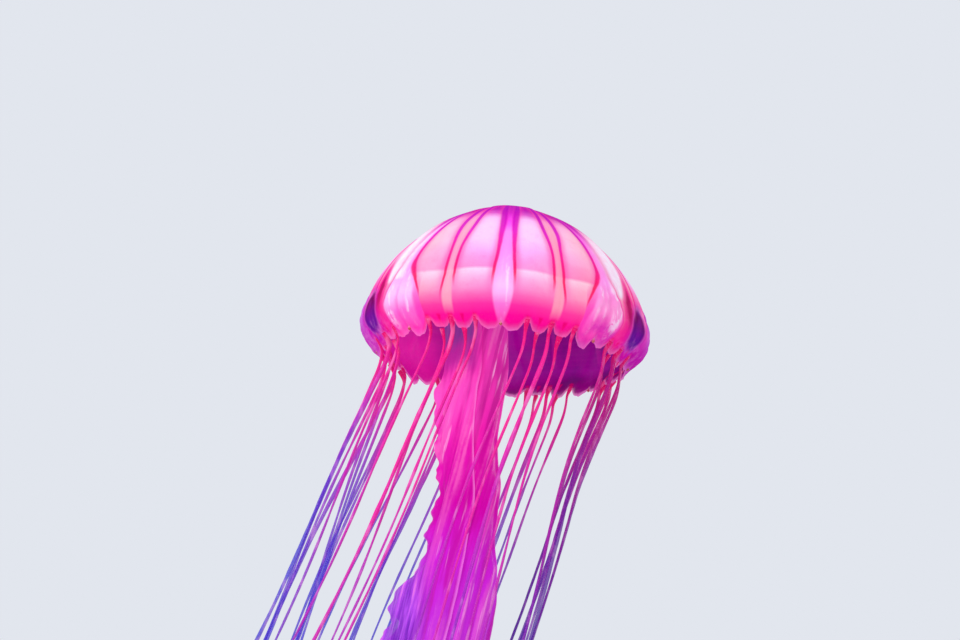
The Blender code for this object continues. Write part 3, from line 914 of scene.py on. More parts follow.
    def build(self, finish: Material) -> None:
        """Makes the skin.

        Rows run down the outer wall, round the margin's edge and up the lining to the vault.

        Args:
            finish: the bell's flesh.
        """
        turn = np.arange(self.columns) / self.columns
        angle = 360.0 * turn[None, :]
        depth = self.edge_depth(angle)
        dome = (np.arange(1, self.dome_rows + 1) / self.dome_rows)[:, None] + 0.0 * angle
        share = (np.arange(1, self.margin_rows + 1) / self.margin_rows)[:, None]
        margin = 1.0 + share ** self.margin_power * depth
        station = np.concatenate([dome, margin])
        outer, _ = self._outer(station, angle + 0.0 * station)

        back = np.linspace(1.0, 0.0, self.lining_margin_rows)[:, None]
        under = 1.0 + back * depth
        wall = FORM.thickness(back * depth)
        wall = wall * (1.0 - (1.0 - self.edge_share) * back ** self.edge_power)
        facing, out = self._outer(under, angle + 0.0 * under)
        lining = facing - out * wall[..., None]
        inside = (np.arange(self.lining_rows - 1, 0, -1) / self.lining_rows)[:, None] + 0.0 * angle
        vault = self._vault(inside, angle + 0.0 * inside)
        gap = lining[-1:] - self._vault(np.ones_like(angle), angle)
        vault = vault + gap * self.vault_blend(inside)[..., None]

        surface = np.concatenate([outer, lining, vault])
        whole = 2.0 * DEEPEST
        along = np.concatenate([station, whole - under, whole - inside]) / whole
        along = np.concatenate([along, along[:, :1]], axis=1)
        faced = np.concatenate([station, under, inside])
        hang = np.concatenate([np.clip(station - 1.0, 0.0, None) / depth, back + 0.0 * depth,
                               0.0 * inside])
        marks = self._marks(surface, FORM.down(faced), np.broadcast_to(angle, faced.shape))
        poles = tuple(FORM.place(np.array([0.0, 0.0, wall(np.zeros(1))[1][0]]))
                      for wall in (FORM.outer, FORM.lining))
        skin = SkinMesh()
        skin.add(FORM.place(surface), along, {**marks, "hang": hang}, poles)
        margins = [f"margin_{k + 1}_{half}" for k in range(OCTANTS) for half in (1, 2)]
        skin.settle("bell_skin", finish, Slot.BELL, ["bell"] + margins)

    def _marks(self, surface: Array, down: Array, angle: Array) -> dict[str, Array]:
        """The named values that the finish reads.

        Args:
            surface: the points in the bell's frame.
            down: metres down the wall from the widest level.
            angle: degrees round the bell.

        Returns:
            The values: a stripe's spread, whether a petal is the nearest, its flare, millimetres
            down, the folds, the distance from the axis, the lenses, the flanks, how strongly the
            lenses show, the side, the violet verge, a petal's outer half, and the painted sheen.
        """
        aside, flare = PATTERN.aside(angle), PATTERN.flare(angle)
        outward = PATTERN.outward(angle) * FORM.organ_offset(angle) > 0.0
        return {
            "spread": PATTERN.spread(down, angle),
            "organ": PATTERN.is_organ(angle),
            "flare": flare,
            "fall": down * 1000.0,
            "fold": self._folds(down, angle),
            "girth": np.linalg.norm(surface[..., :2], axis=-1),
            "window": PATTERN.window(down, angle),
            "shade": PATTERN.shade(down, angle),
            "flank": self.flank(aside),
            "shown": 1.0 - self.shown(aside),
            "side": np.sin(np.radians(angle)),
            "verge": self.verge(aside),
            "outer": outward * (flare > 0.0) * self.outer_fall(down),
            "sheen": PATTERN.sheen(down, angle),
        }

    def _vault(self, station: Array, angle: Array) -> Array:
        """The dome's lining: sixteen radial septa between shallow pouches, ribbed across."""
        plain = FORM.point(angle, *FORM.lining(station))
        out = unit(plain * np.array([1.0, 1.0, self.vault_flat]))
        shown = self.septum_stations(station)
        septum = hump(0.0, self.septum_wide, PATTERN.pair_offset(angle))
        ribs = np.sin(2 * np.pi * station * self.ribs) * self.ribs_begin(station)
        ribs = self.rib_share * self.fold_depth * ribs * (1.0 - septum)
        return plain - out * ((self.septum_height * septum + ribs) * shown)[..., None]


# --- tentacles
@dataclass
class Tentacles:
    """Forty tentacles, five to an octant, one skin for each octant's five.

    A tentacle hangs a short way from its root and then trails to the left, swaying.  Those on the
    right gather in under the rim and part to the front and back of the oral arms.
    """

    reach: float = 0.0038
    drop: float = 0.0022
    sweep: float = math.radians(20.5)
    sweep_spread: float = math.radians(3.5)
    sweep_varies: float = math.radians(1.3)
    stray_turn: float = 2.4
    hang_length: float = 0.024
    sway: float = math.radians(3.2)
    sway_start: float = 2.68
    sways_round: int = 3
    sway_scale: float = 0.055
    sway_depth: float = 0.001
    depth_scale: float = 0.040
    lengths: tuple[float, ...] = (0.460, 0.420, 0.500, 0.420, 0.460)
    primary_radii: Span = (0.0013, 0.0006)
    fine_radii: Span = (0.00092, 0.00042)
    step: float = 0.001
    rings: int = 300
    sides: int = 14
    root_rows: Span = (0.74, 1.0)
    root_flare: float = 0.0010
    root_length: float = 0.0060
    root_power: float = 2.2
    root_bend: float = 1.12
    root_deep: float = 0.35
    even_share: float = 0.62
    tip_round: float = 0.98
    bead: float = 0.10
    bead_scale: float = 0.028
    flat: float = 0.16
    twist: float = 2.2
    twist_scale: float = 0.031
    stray: Step = Step(-0.005, -0.060, math.radians(3.0))
    gather: Step = Step(-0.045, 0.085, math.radians(6.0))
    gather_reach: Band = Band(0.008, 0.030, 0.045, 0.110)
    sway_begins: Step = Step(0.03, 0.12)
    depth_begins: Step = Step(0.05, 0.15)
    tail_lift: Step = Step(0.20, 0.45, math.radians(7.0))
    parting: Step = Step(-0.03, 0.05, 0.033)
    parting_begins: Step = Step(0.03, 0.16)
    beads_begin: Step = Step(0.01, 0.05)
    cool_front: float = 0.06
    cool_behind: Span = (0.72, 0.50)
    cool_aside: Step = Step(35.0, 75.0)
    cool_varies: float = 0.22
    dusk_side: Step = Step(0.35, 0.90)
    dusk_least: float = 0.6

    def root(self, angle: float) -> tuple[Array, Array, Array]:
        """Where a tentacle grows: the middle of a small patch of the margin's lining.

        Args:
            angle: degrees round the bell.

        Returns:
            The root in the world, the start of the tentacle's path, and the direction across.
        """
        sides = np.array([-1.0, 1.0, 1.0, -1.0]) * FORM.root_half_span + angle
        shares = np.array([self.root_rows[1]] * 2 + [self.root_rows[0]] * 2)
        depth = FORM.edge_depth(sides) * shares
        radius, height = FORM.outer(1.0 + depth)
        middle = FORM.point(sides, radius - FORM.thickness(depth), height).mean(axis=0)
        across, outward = FORM.ways(angle)
        inward = -outward * self.reach - np.array([0.0, 0.0, self.drop])
        root = FORM.place(middle)
        return root, root + FORM.turned(inward), FORM.turned(across)

    def path(self, order: int, length: float, root: Array, start: Array) -> Array:
        """The tentacle's middle line at even steps of a millimetre.

        Its tilt from hanging plumb is a sum of S steps and one sine of the length, and x and z
        are the running sums of the sine and cosine of the tilt.

        Args:
            order: 0 to 39 round the bell.
            length: of the tentacle.
            root: where it grows.
            start: where the path begins.

        Returns:
            Points in the world.
        """
        s = np.arange(int(length / self.step) + 2) * self.step
        side = root[0] - FORM.rim_centre[0]
        phase = self.sway_start + self.sways_round * 2 * math.pi * order / TENTACLES
        stray = self.stray(side) * math.sin(self.stray_turn * order)
        sweep = (self.sweep - self.sweep_spread * side / FORM.rim_radius
                 + self.sweep_varies * math.sin(phase) + stray)
        tilt = FORM.lean_right + (sweep - FORM.lean_right) * smooth_step(0.0, self.hang_length, s)
        gathered = self.gather_reach(s)
        tilt = tilt + self.gather(side) * gathered
        swayed = self.sway_begins(s)
        tilt = tilt + self.sway * np.sin(s / self.sway_scale + 0.5 * phase) * swayed
        tilt = (tilt + self.tail_lift(s))[:-1]
        x = start[0] - running(np.sin(tilt) * self.step)
        z = start[2] - running(np.cos(tilt) * self.step)
        parting = self.parting(side) * self.parting_begins(s)
        y = math.copysign(1.0, start[1]) * np.sqrt(start[1] ** 2 + parting ** 2)
        deep = self.depth_begins(s)
        y = y + self.sway_depth * np.sin(s / self.depth_scale + phase) * deep
        return np.stack([x, y, z], axis=1)

    def tube(self, order: int, angle: float, length: float,
             radii: Span) -> tuple[Array, Array]:
        """One tentacle's surface: rings across its path, flared at the root and lightly beaded.

        The ring's radius falls evenly to the tip and ends in a quarter round.  The first rings
        widen along the margin as the square of the way back to the root.

        Args:
            order: 0 to 39 round the bell.
            angle: of the root.
            length: of the tentacle.
            radii: at the root and the tip.

        Returns:
            The grid of points, and how far along each ring is in metres.
        """
        root, start, across = self.root(angle)
        line = self.path(order, length, root, start)
        even = np.arange(len(line)) * self.step
        share = np.linspace(0.0, 1.0, self.rings)
        s = length * (self.even_share * share + (1.0 - self.even_share) * share ** 2)
        centre = np.stack([np.interp(s, even, line[:, k]) for k in range(3)], axis=1)
        back = np.clip(1.0 - s / self.root_length, 0.0, 1.0)
        centre = centre + (root - start)[None] * (self.root_bend * back ** 2)[:, None]
        ahead = unit(np.gradient(centre, axis=0))
        wide = unit(across - ahead * (ahead @ across)[:, None])
        deep = np.cross(ahead, wide)
        radius = radii[0] + (radii[1] - radii[0]) * s / length
        tip = np.clip((length - s) / (2.0 * radii[1]), 0.0, 1.0)
        radius = radius * np.sqrt(1.0 - (1.0 - tip) ** 2 * self.tip_round)
        beads = ripple(60 + order, s / self.bead_scale) * self.beads_begin(s)
        turn = ring(self.sides)
        twist = self.twist * np.sin(s / self.twist_scale + order)[:, None]
        flat = 1.0 + self.flat * np.cos(2 * (turn - twist))
        around = (radius * (1.0 + self.bead * beads))[:, None] * flat
        broad = 1.0 + (self.root_flare / radii[0]) * back[:, None] ** self.root_power
        ring_x = around * np.cos(turn) * broad
        ring_y = around * np.sin(turn) * (1.0 + self.root_deep * back[:, None])
        return (centre[:, None] + ring_x[..., None] * wide[:, None]
                + ring_y[..., None] * deep[:, None]), s

    def build(self, k: int, finish: Material) -> None:
        """Makes the skin of one octant's five tentacles.

        Args:
            k: the octant.
            finish: the tentacles' flesh.
        """
        draw = np.random.default_rng(300 + k)
        middle = FORM.phase + (k + 0.5) * OCTANT
        skin = SkinMesh()
        for index, length in enumerate(self.lengths):
            angle = middle + (index - FORM.roots_aside) * FORM.root_step
            radii = self.primary_radii if index == 2 else self.fine_radii
            grid, s = self.tube(len(self.lengths) * k + index, angle, length, radii)
            side = math.sin(math.radians(angle))
            left, right = self.cool_behind
            cool = (left if side < 0.0 else right) * self.cool_aside(PATTERN.aside(angle))
            cool = self.cool_front + cool + draw.uniform(-self.cool_varies, self.cool_varies)
            dusk = self.dusk_side(side) * draw.uniform(self.dusk_least, 1.0)
            skin.add(grid, (s / length)[:, None], {
                "reach": s[:, None], "cool": np.clip(cool, 0.0, 1.0), "dusk": dusk})
        nodes = [f"tentacle_{k + 1}_{part}" for part in (1, 2, 3)]
        skin.settle(f"tentacle_skin_{k + 1}", finish, Slot.TENTACLE, nodes)


# --- manubrium and oral arms
@dataclass(frozen=True)
class Column:
    """The column of the four oral arms: its level outline at each drop below the rim.

    It keeps a straight right edge, swells to the left and trails left further down.  Two arms
    stand before the rod's channel and two behind.
    """

    top_drop: float = -0.030
    lengths: tuple[float, ...] = (0.430, 0.445, 0.405, 0.420)
    halves: tuple[Half, ...] = (Half.LEFT, Half.RIGHT, Half.RIGHT, Half.LEFT)
    faces: tuple[Face, ...] = (Face.FRONT, Face.FRONT, Face.BACK, Face.BACK)
    right_edge: float = 0.0115
    depth: float = 0.017
    span: float = 42.5
    slant: float = 0.24
    veil_width: float = 0.058
    half_width: float = 0.0150
    swells: tuple[Step, ...] = (
        Step(0.004, 0.022, 0.0022), Step(0.040, 0.070, -0.0012), Step(0.085, 0.185, 0.0156))
    trail_drop: float = 0.21
    trail_bend: float = 0.05
    neck_width: Step = Step(0.050, -0.004, 0.0028)
    span_closes: Step = Step(0.45, 1.0, 0.80)
    spread: Step = Step(0.4, 1.0, 0.004)
    channel: float = 0.0055
    channel_closes: Step = Step(0.235, 0.300, 0.65)
    wave_scale: Span = (0.0105, 0.0008)
    wave_turn: Span = (1.9, 1.1)
    wave_height: Span = (0.0008, 0.0022)
    wave_drops: Step = Step(-0.02, 0.12)
    wave_middle: float = 0.4

    def width(self, drop: Array) -> Array:
        """Half the column's width: an S step out at the shoulder, a little in, and out again."""
        return sum((swell(drop) for swell in self.swells), start=self.half_width)

    def trail(self, drop: Array) -> Array:
        """How far the right edge has moved left: half a hyperbola from upright to 1 in 2."""
        past = drop - self.trail_drop
        return 0.25 * (past + np.hypot(past, self.trail_bend))

    def neck(self, drop: Array) -> Array:
        """Half of how far the right edge stands out under the mouth, an S step of the drop."""
        return self.neck_width(drop)

    def veil(self, x: Array, drop: Array | float) -> Array:
        """How far left of the right edge a place is, 1 at the whole veil's width."""
        return (self.right_edge - self.trail(drop) - x) / self.veil_width

    def slanted(self, x: Array, drop: Array | float) -> Array:
        """The place from left to right in centimetres, along lines that slant to the left."""
        return (x + self.slant * drop) * 100.0

    def line(self, arm: int, drop: Array, u: Array, waves: float = 1.0) -> tuple[Array, Array]:
        """The middle of an arm's thickness, an arc of the column's outline.

        Args:
            arm: 0 to 3, front left, front right, back right, back left.
            drop: below the rim.
            u: -1 at the edge beside the column's side to 1 at the edge in its front or back.
            waves: how much of the line's own waves shows.

        Returns:
            x and y.
        """
        half, face = self.halves[arm].value, self.faces[arm].value
        width = self.width(drop) + self.neck(drop)
        centre = self.right_edge + 2.0 * self.neck(drop) - width - self.trail(drop)
        share = (drop - self.top_drop) / self.lengths[arm]
        span = self.span * (1.0 - self.span_closes(share))
        spread = self.spread(share)
        closed = self.channel_closes(drop)
        psi = np.radians(45.0 + span * u)
        scale, more = self.wave_scale
        turn, across = self.wave_turn
        wave = np.sin(drop / (scale + more * arm) + turn * arm + across * u)
        least, grown = self.wave_height
        most = least + grown * self.wave_drops(drop)
        edge = self.wave_middle + (1.0 - self.wave_middle) * u * u
        flutter = waves * most * edge * wave
        x = centre + half * ((width + flutter) * np.cos(psi) + spread)
        y = face * (self.channel * (1.0 - closed) + (self.depth + flutter) * np.sin(psi) + spread)
        return x, y


@dataclass
class OralArms:
    """Four frilled ribbons that hang from the mouth as one pleated veil.

    The front left ribbon laps over the front right one, the back right over the back left, and
    both front ribbons lap over the back ones at the sides.
    """

    column: Column = field(default_factory=Column)
    rows: int = 760
    across: int = 58
    head: float = 0.016
    thickness: float = 0.0022
    edge_share: float = 0.20
    pleat: float = 0.0011
    pleat_width: float = 0.0125
    frills: tuple[Triple, ...] = (
        (0.0036, 0.0420, 0.30), (0.0013, 0.0170, 0.55), (0.0005, 0.0072, 0.80))
    calm: float = 0.07
    left_waves: float = 0.45
    right_waves: float = 0.25
    lap: float = 0.30
    side_lap: float = 0.13
    lap_lift: float = 0.0021
    tuck_share: float = 0.45
    tuck_shift: float = 0.0045
    calm_middle: float = 0.30
    calm_blend: Step = Step(-0.4, 0.3)
    grown: Step = Step(0.02, 0.20)
    first_least: float = 0.30
    first_grown: Step = Step(0.24, 0.55)
    bend: float = 0.10
    bend_scale: float = 0.12
    back_slant: float = 0.6
    wander: float = 1.1
    wander_scales: Span = (0.16, 0.05)
    overtones: tuple[Triple, ...] = ((0.45, 2.3, 0.8), (0.5, 4.7, 2.1))
    pleats_least: float = 0.35
    pleats_thin: float = 0.6
    even_share: float = 0.65
    tip_share: float = 0.02
    tip_thins: float = 0.45

    def _laps(self, arm: int) -> tuple[float, float]:
        """How far past -1 and 1 the ribbon reaches: the side's lap, and the front's or back's."""
        front = self.column.faces[arm] is Face.FRONT
        left = self.column.halves[arm] is Half.LEFT
        return (self.side_lap if front else 0.0), (self.lap if front == left else 0.0)

    def _calm(self, arm: int, u: Array) -> Array:
        """How much of the frills shows: little on the right side, some where ribbons meet."""
        side = self.calm if self.column.halves[arm] is Half.RIGHT else 1.0
        return side + (self.calm_middle - side) * self.calm_blend(u)

    def _frilled(self, arm: int, drop: Array, u: Array) -> tuple[Array, Array, Array]:
        """The arm's middle line with its pleats and frills.

        Pleats are sines of the place from left to right that slant to the left on the way down.
        Each frill is a sine along the ribbon that grows from its own share of the half width to
        the edge.  Both push outwards along the line's normal.

        Args:
            arm: 0 to 3.
            drop: below the rim.
            u: across the ribbon.

        Returns:
            The line's x and y, its normal, and how much each place stands on a ridge.
        """
        column = self.column
        share = (drop - column.top_drop) / column.lengths[arm]
        grown = self.grown(share)
        half, face = column.halves[arm].value, column.faces[arm].value
        low, high = self._laps(arm)
        edge = np.where(u < 0.0, -u / (1.0 + low), u / (1.0 + high))
        sign = np.where(u < 0.0, 0.0, 1.7)
        push = 0.0
        first = self.first_least + (1.0 - self.first_least) * self.first_grown(share)
        for k, (height, wave, start) in enumerate(self.frills):
            wander = 1.6 * ripple(410 + 17 * arm + k, drop / (7.0 * wave))
            phase = 2 * np.pi * drop / wave + wander + sign * (k + 1) + 2.1 * arm
            size = height * (1.0 if k else first)
            push = push + size * smooth_step(start, 1.0, edge) * np.sin(phase)
        push = push * self._calm(arm, u) * grown
        ridge = push / self.frills[0][0]
        bend = self.bend * ripple(560 + arm, drop / self.bend_scale) * smooth_step(0.3, 1.0, edge)
        waves = self.right_waves if column.halves[arm] is Half.RIGHT else self.left_waves
        x, y = column.line(arm, drop, u * (1.0 + bend * self._calm(arm, u)), waves)
        slope = column.slant * (1.0 if column.faces[arm] is Face.FRONT else self.back_slant)
        slant = x + slope * drop
        deep, wide = self.wander_scales
        wander = self.wander * ripple(500, drop / deep, slant / wide)
        turn = 2 * np.pi * slant / self.pleat_width + wander
        second, third = (size * np.sin(times * turn + phase) for size, times, phase in self.overtones)
        pleats = np.sin(turn) + second
        ridge = ridge + pleats + third
        grows = self.pleats_least + (1.0 - self.pleats_least) * grown
        push = push + self.pleat * pleats * (1.0 - self.pleats_thin * edge ** 3) * grows
        push = push + self.lap_lift * (high > 0.0) * smooth_step(0.55, 1.05, u)
        push = push + self.lap_lift * (low > 0.0) * smooth_step(0.70, 1.05, -u)
        ahead_x, ahead_y = column.line(arm, drop, u + 0.01, waves)
        plain_x, plain_y = column.line(arm, drop, u, waves)
        run = unit(np.stack([ahead_x - plain_x, ahead_y - plain_y], axis=-1))
        out = np.stack([run[..., 1], -run[..., 0]], axis=-1) * half * face
        lean = 0.5 * self.frills[0][0] * smooth_step(0.6, 1.0, edge) * self._calm(arm, u) * grown
        return np.stack([x, y], axis=-1) + (push + lean)[..., None] * out, out, ridge

    def build(self, arm: int, finish: Material) -> None:
        """Makes one arm: the pleated line given a thickness that thins to its edges and tip.

        Args:
            arm: 0 to 3.
            finish: the arms' flesh.
        """
        column = self.column
        length = column.lengths[arm]
        top = column.top_drop - self.head
        drop = top + (length + self.head) * np.linspace(0.0, 1.0, self.rows)[:, None]
        low, high = self._laps(arm)
        even = np.linspace(-1.0, 1.0, self.across)[None]
        u = (1.0 - self.even_share) * np.sin(0.5 * np.pi * even) + self.even_share * even
        u = np.where(u < 0.0, u * (1.0 + low), u * (1.0 + high))
        line, out, ridge = self._frilled(arm, drop + 0.0 * u, u + 0.0 * drop)
        tuck = smooth_step(column.top_drop + 0.5 * self.head, top, drop)[..., None]
        line = line + tuck * (np.array([self.tuck_shift, 0.0]) - self.tuck_share * line)
        share = (drop - column.top_drop) / length
        tip = np.sqrt(np.clip((1.0 - share) / self.tip_share, 0.0, 1.0))
        thins = (1.0 - self.edge_share) * smooth_step(0.25, 1.0, np.abs(even))
        thick = self.thickness * (1.0 - thins) * (0.1 + 0.9 * tip)
        thick = thick * (1.0 - self.tip_thins * smooth_step(0.3, 1.0, share))
        offset = 0.5 * thick[..., None] * out
        z = np.broadcast_to(FORM.rim_centre[2] - drop, line.shape[:2])[..., None]
        face = np.concatenate([line + offset, z], axis=-1)
        rear = np.concatenate([line - offset, z], axis=-1)[:, ::-1]
        grid = np.concatenate([face, rear], axis=1)
        loop_x = np.concatenate([line[..., 0], line[:, ::-1, 0]], axis=1)
        skin = SkinMesh()
        # ridge carries the pleats' ridges and valleys, which the finish paints paler and darker as
        # painted light and shade
        skin.add(grid, share, {
            "edge": np.abs(np.concatenate([even, even[:, ::-1]], axis=1)),
            "veil": column.veil(loop_x, drop),
            "reach": share,
            "slant": column.slanted(loop_x, drop),
            "ridge": np.concatenate([ridge, -ridge[:, ::-1]], axis=1),
            "layer": 1.3 * arm,
        })
        nodes = [f"oral_arm_{arm + 1}_{part}" for part in (1, 2, 3)]
        skin.settle(f"oral_arm_skin_{arm + 1}", finish, Slot.ARM, nodes)


@dataclass
class Manubrium:
    """The mouth's stalk: a lobed, fluted neck from the vault down to the oral arms."""

    column: Column = field(default_factory=Column)
    top_radius: float = 0.032
    foot_radius: float = 0.0215
    foot_drop: float = -0.030
    rows: int = 120
    columns: int = 240
    lobes: int = 4
    lobe_depth: float = 0.10
    flutes: int = 16
    flute_depth: float = 0.0009
    roof_share: float = 0.22
    roof_least: float = 0.30
    flute_begins: Step = Step(0.10, 0.35)
    gap: float = 0.0004
    reach: float = 0.095

    def build(self, finish: Material) -> None:
        """Makes the stalk: a profile turned round the bell's axis that levels off at its foot.

        Args:
            finish: the arms' flesh.
        """
        t = np.linspace(0.0, 1.0, self.rows)[:, None]
        turn = ring(self.columns)
        lobe = np.cos(self.lobes * turn)
        radii, heights = FORM.lining(np.linspace(0.0, 1.0, 400))
        roof = np.clip(t / self.roof_share, 0.0, 1.0)
        down = np.clip((t - self.roof_share) / (1.0 - self.roof_share), 0.0, 1.0)
        waist = self.foot_radius + (self.top_radius - self.foot_radius) * (1.0 - down) ** 2
        radius = self.top_radius * (self.roof_least + (1.0 - self.roof_least) * roof)
        radius = np.where(t < self.roof_share, radius, waist)
        radius = radius * (1.0 + self.lobe_depth * lobe * (1.0 - 0.5 * down))
        flutes = np.cos(self.flutes * turn + 2.0 * np.sin(3.0 * t))
        radius = radius + self.flute_depth * flutes * self.flute_begins(t)
        vault = np.interp(radius, radii, heights) - self.gap
        neck_top = float(np.interp(self.top_radius, radii, heights)) - self.gap
        neck = neck_top * (1.0 - down) - self.foot_drop * down
        height = np.where(t < self.roof_share, vault, neck)
        flat = np.stack([radius * np.cos(turn), radius * np.sin(turn), 0.0 * radius], axis=-1)
        hung = FORM.place(flat + np.stack([0 * height, 0 * height, height + 0 * turn], axis=-1))
        foot = np.array([0.0, 0.0, FORM.rim_centre[2] - self.foot_drop])
        grid = hung + (flat + foot - hung) * (down ** 2)[..., None]
        across, drop = grid[..., 0], FORM.rim_centre[2] - grid[..., 2]
        skin = SkinMesh()
        # ridge: eight bands round the stalk, which the finish paints paler and darker as painted light
        # and shade
        skin.add(grid, 0.1 * t, {
            "edge": 0.0, "veil": self.column.veil(across, self.foot_drop),
            "reach": self.reach * (1.0 - down), "layer": 0.0, "ridge": np.cos(8.0 * turn),
            "slant": self.column.slanted(across, drop)})
        skin.settle("manubrium_skin", finish, Slot.ARM, ["manubrium"])


# --- sense organs
@dataclass
class SenseOrgans:
    """Eight little clubs, one in each cleft between the octants, in one piece."""

    length: float = 0.0042
    radius: float = 0.0010
    rows: int = 18
    sides: int = 16

    def build(self, finish: Material) -> None:
        """Makes the clubs: each a profile of sines turned round a line that hangs in its cleft.

        Args:
            finish: the organs' flesh.
        """
        t = np.linspace(0.02, 0.98, self.rows)[:, None]
        turn = ring(self.sides)
        radius = self.radius * (0.45 * np.sin(np.pi * t) ** 0.5 + 0.75 * hump(0.74, 0.20, t))
        radius = radius * np.sqrt(np.clip(4.0 * t * (1.0 - t), 0.0, 1.0)) ** 0.5
        skin = SkinMesh()
        for k in range(OCTANTS):
            angle = FORM.phase + k * OCTANT
            across, outward = FORM.ways(angle)
            wall, height = FORM.outer(np.array(1.0 + FORM.cleft_depth))
            root = FORM.point(np.array(angle), wall - 0.0012, height + 0.0012)
            line = root - t * self.length * np.array([0.0, 0.0, 1.0]) - 0.0006 * t * outward
            grid = (line[:, None] + (radius * np.cos(turn))[..., None] * across
                    + (radius * np.sin(turn))[..., None] * outward)
            skin.add(FORM.place(grid), t)
        skin.settle("sense_organs", finish, Slot.MARGIN, [])


# --- the stand
@dataclass
class Stand:
    """The display stand: a round base and the slim rod that stands on it."""

    base_radius: float = 0.120
    base_thickness: float = 0.012
    base_bevel: float = 0.0015
    rod_radius: float = 0.003
    collar_radius: float = 0.014
    collar_height: float = 0.0036
    collar_top: float = 0.0060
    pad_radius: float = 0.0045
    pad_height: float = 0.002
    gap: float = 0.0003
    foot_drop: float = -0.030
    base_sides: int = 192
    rod_sides: int = 48

    @staticmethod
    def _turned(profile: list[Span], sides: int, lift: float) -> SkinMesh:
        """A closed solid from a profile turned round the axis.

        Args:
            profile: (radius, height) from the bottom's rim of the pole to the top's.
            sides: of the turning.
            lift: added to every height.

        Returns:
            The skin.
        """
        radius, height = (np.array(column)[:, None] for column in zip(*profile))
        turn = ring(sides)
        grid = np.stack([radius * np.cos(turn), radius * np.sin(turn),
                         height + lift + 0.0 * turn], axis=-1)
        run = running(np.hypot(np.diff(radius[:, 0]), np.diff(height[:, 0])))
        skin = SkinMesh()
        skin.add(grid, (run / run[-1])[:, None])
        return skin

    @staticmethod
    def _corner(radius: float, height: float, bevel: float, top: bool) -> list[Span]:
        """A quarter round at an outer corner, five points, with one more close to each end."""
        angles = np.linspace(0.0, 90.0, 6)
        sign = 1.0 if top else -1.0
        points = [(radius - bevel + bevel * math.cos(math.radians(a)),
                   height - sign * bevel + sign * bevel * math.sin(math.radians(a)))
                  for a in angles]
        points = [(radius, height - sign * (bevel + 0.0002))] + points
        points = points + [(radius - bevel - 0.0004, height)]
        return points if top else points[::-1]

    def build(self, coat: Material, steel: Material) -> None:
        """Makes the base and the rod, each in place of its node.

        Args:
            coat: the base's finish.
            steel: the rod's.
        """
        base = [(0.004, 0.0)] + self._corner(self.base_radius, 0.0, 0.0005, False)
        base += self._corner(self.base_radius, self.base_thickness, self.base_bevel, True)
        base += [(0.060, self.base_thickness), (0.004, self.base_thickness)]
        skin = self._turned(base, self.base_sides, 0.0)
        skin.settle("stand_base_turned", coat, Slot.BASE, ["stand_base"])

        lift = self.base_thickness + self.gap
        top = FORM.rim_centre[2] - self.foot_drop - lift - self.gap
        rod = [(0.002, 0.0), (self.collar_radius - 0.0006, 0.0), (self.collar_radius, 0.0004)]
        rod += self._corner(self.collar_radius, self.collar_height, 0.0007, True)
        sweep = np.linspace(0.0, 1.0, 12)
        reach = self.collar_radius - 0.0016 - self.rod_radius
        rod += [(self.rod_radius + reach * (1.0 - t) ** 2.4,
                 self.collar_height + self.collar_top * t ** 1.6) for t in sweep]
        start = self.collar_height + self.collar_top
        steps = np.linspace(start + 0.004, top - 3 * self.pad_height, 60)
        rod += [(self.rod_radius, float(z)) for z in steps]
        rod += [(self.rod_radius, top - 2 * self.pad_height), (self.pad_radius, top - self.pad_height),
                (self.pad_radius, top - 0.0004), (self.pad_radius - 0.0004, top), (0.001, top)]
        skin = self._turned(rod, self.rod_sides, lift)
        skin.settle("stand_rod_turned", steel, Slot.ROD, ["stand_rod"])


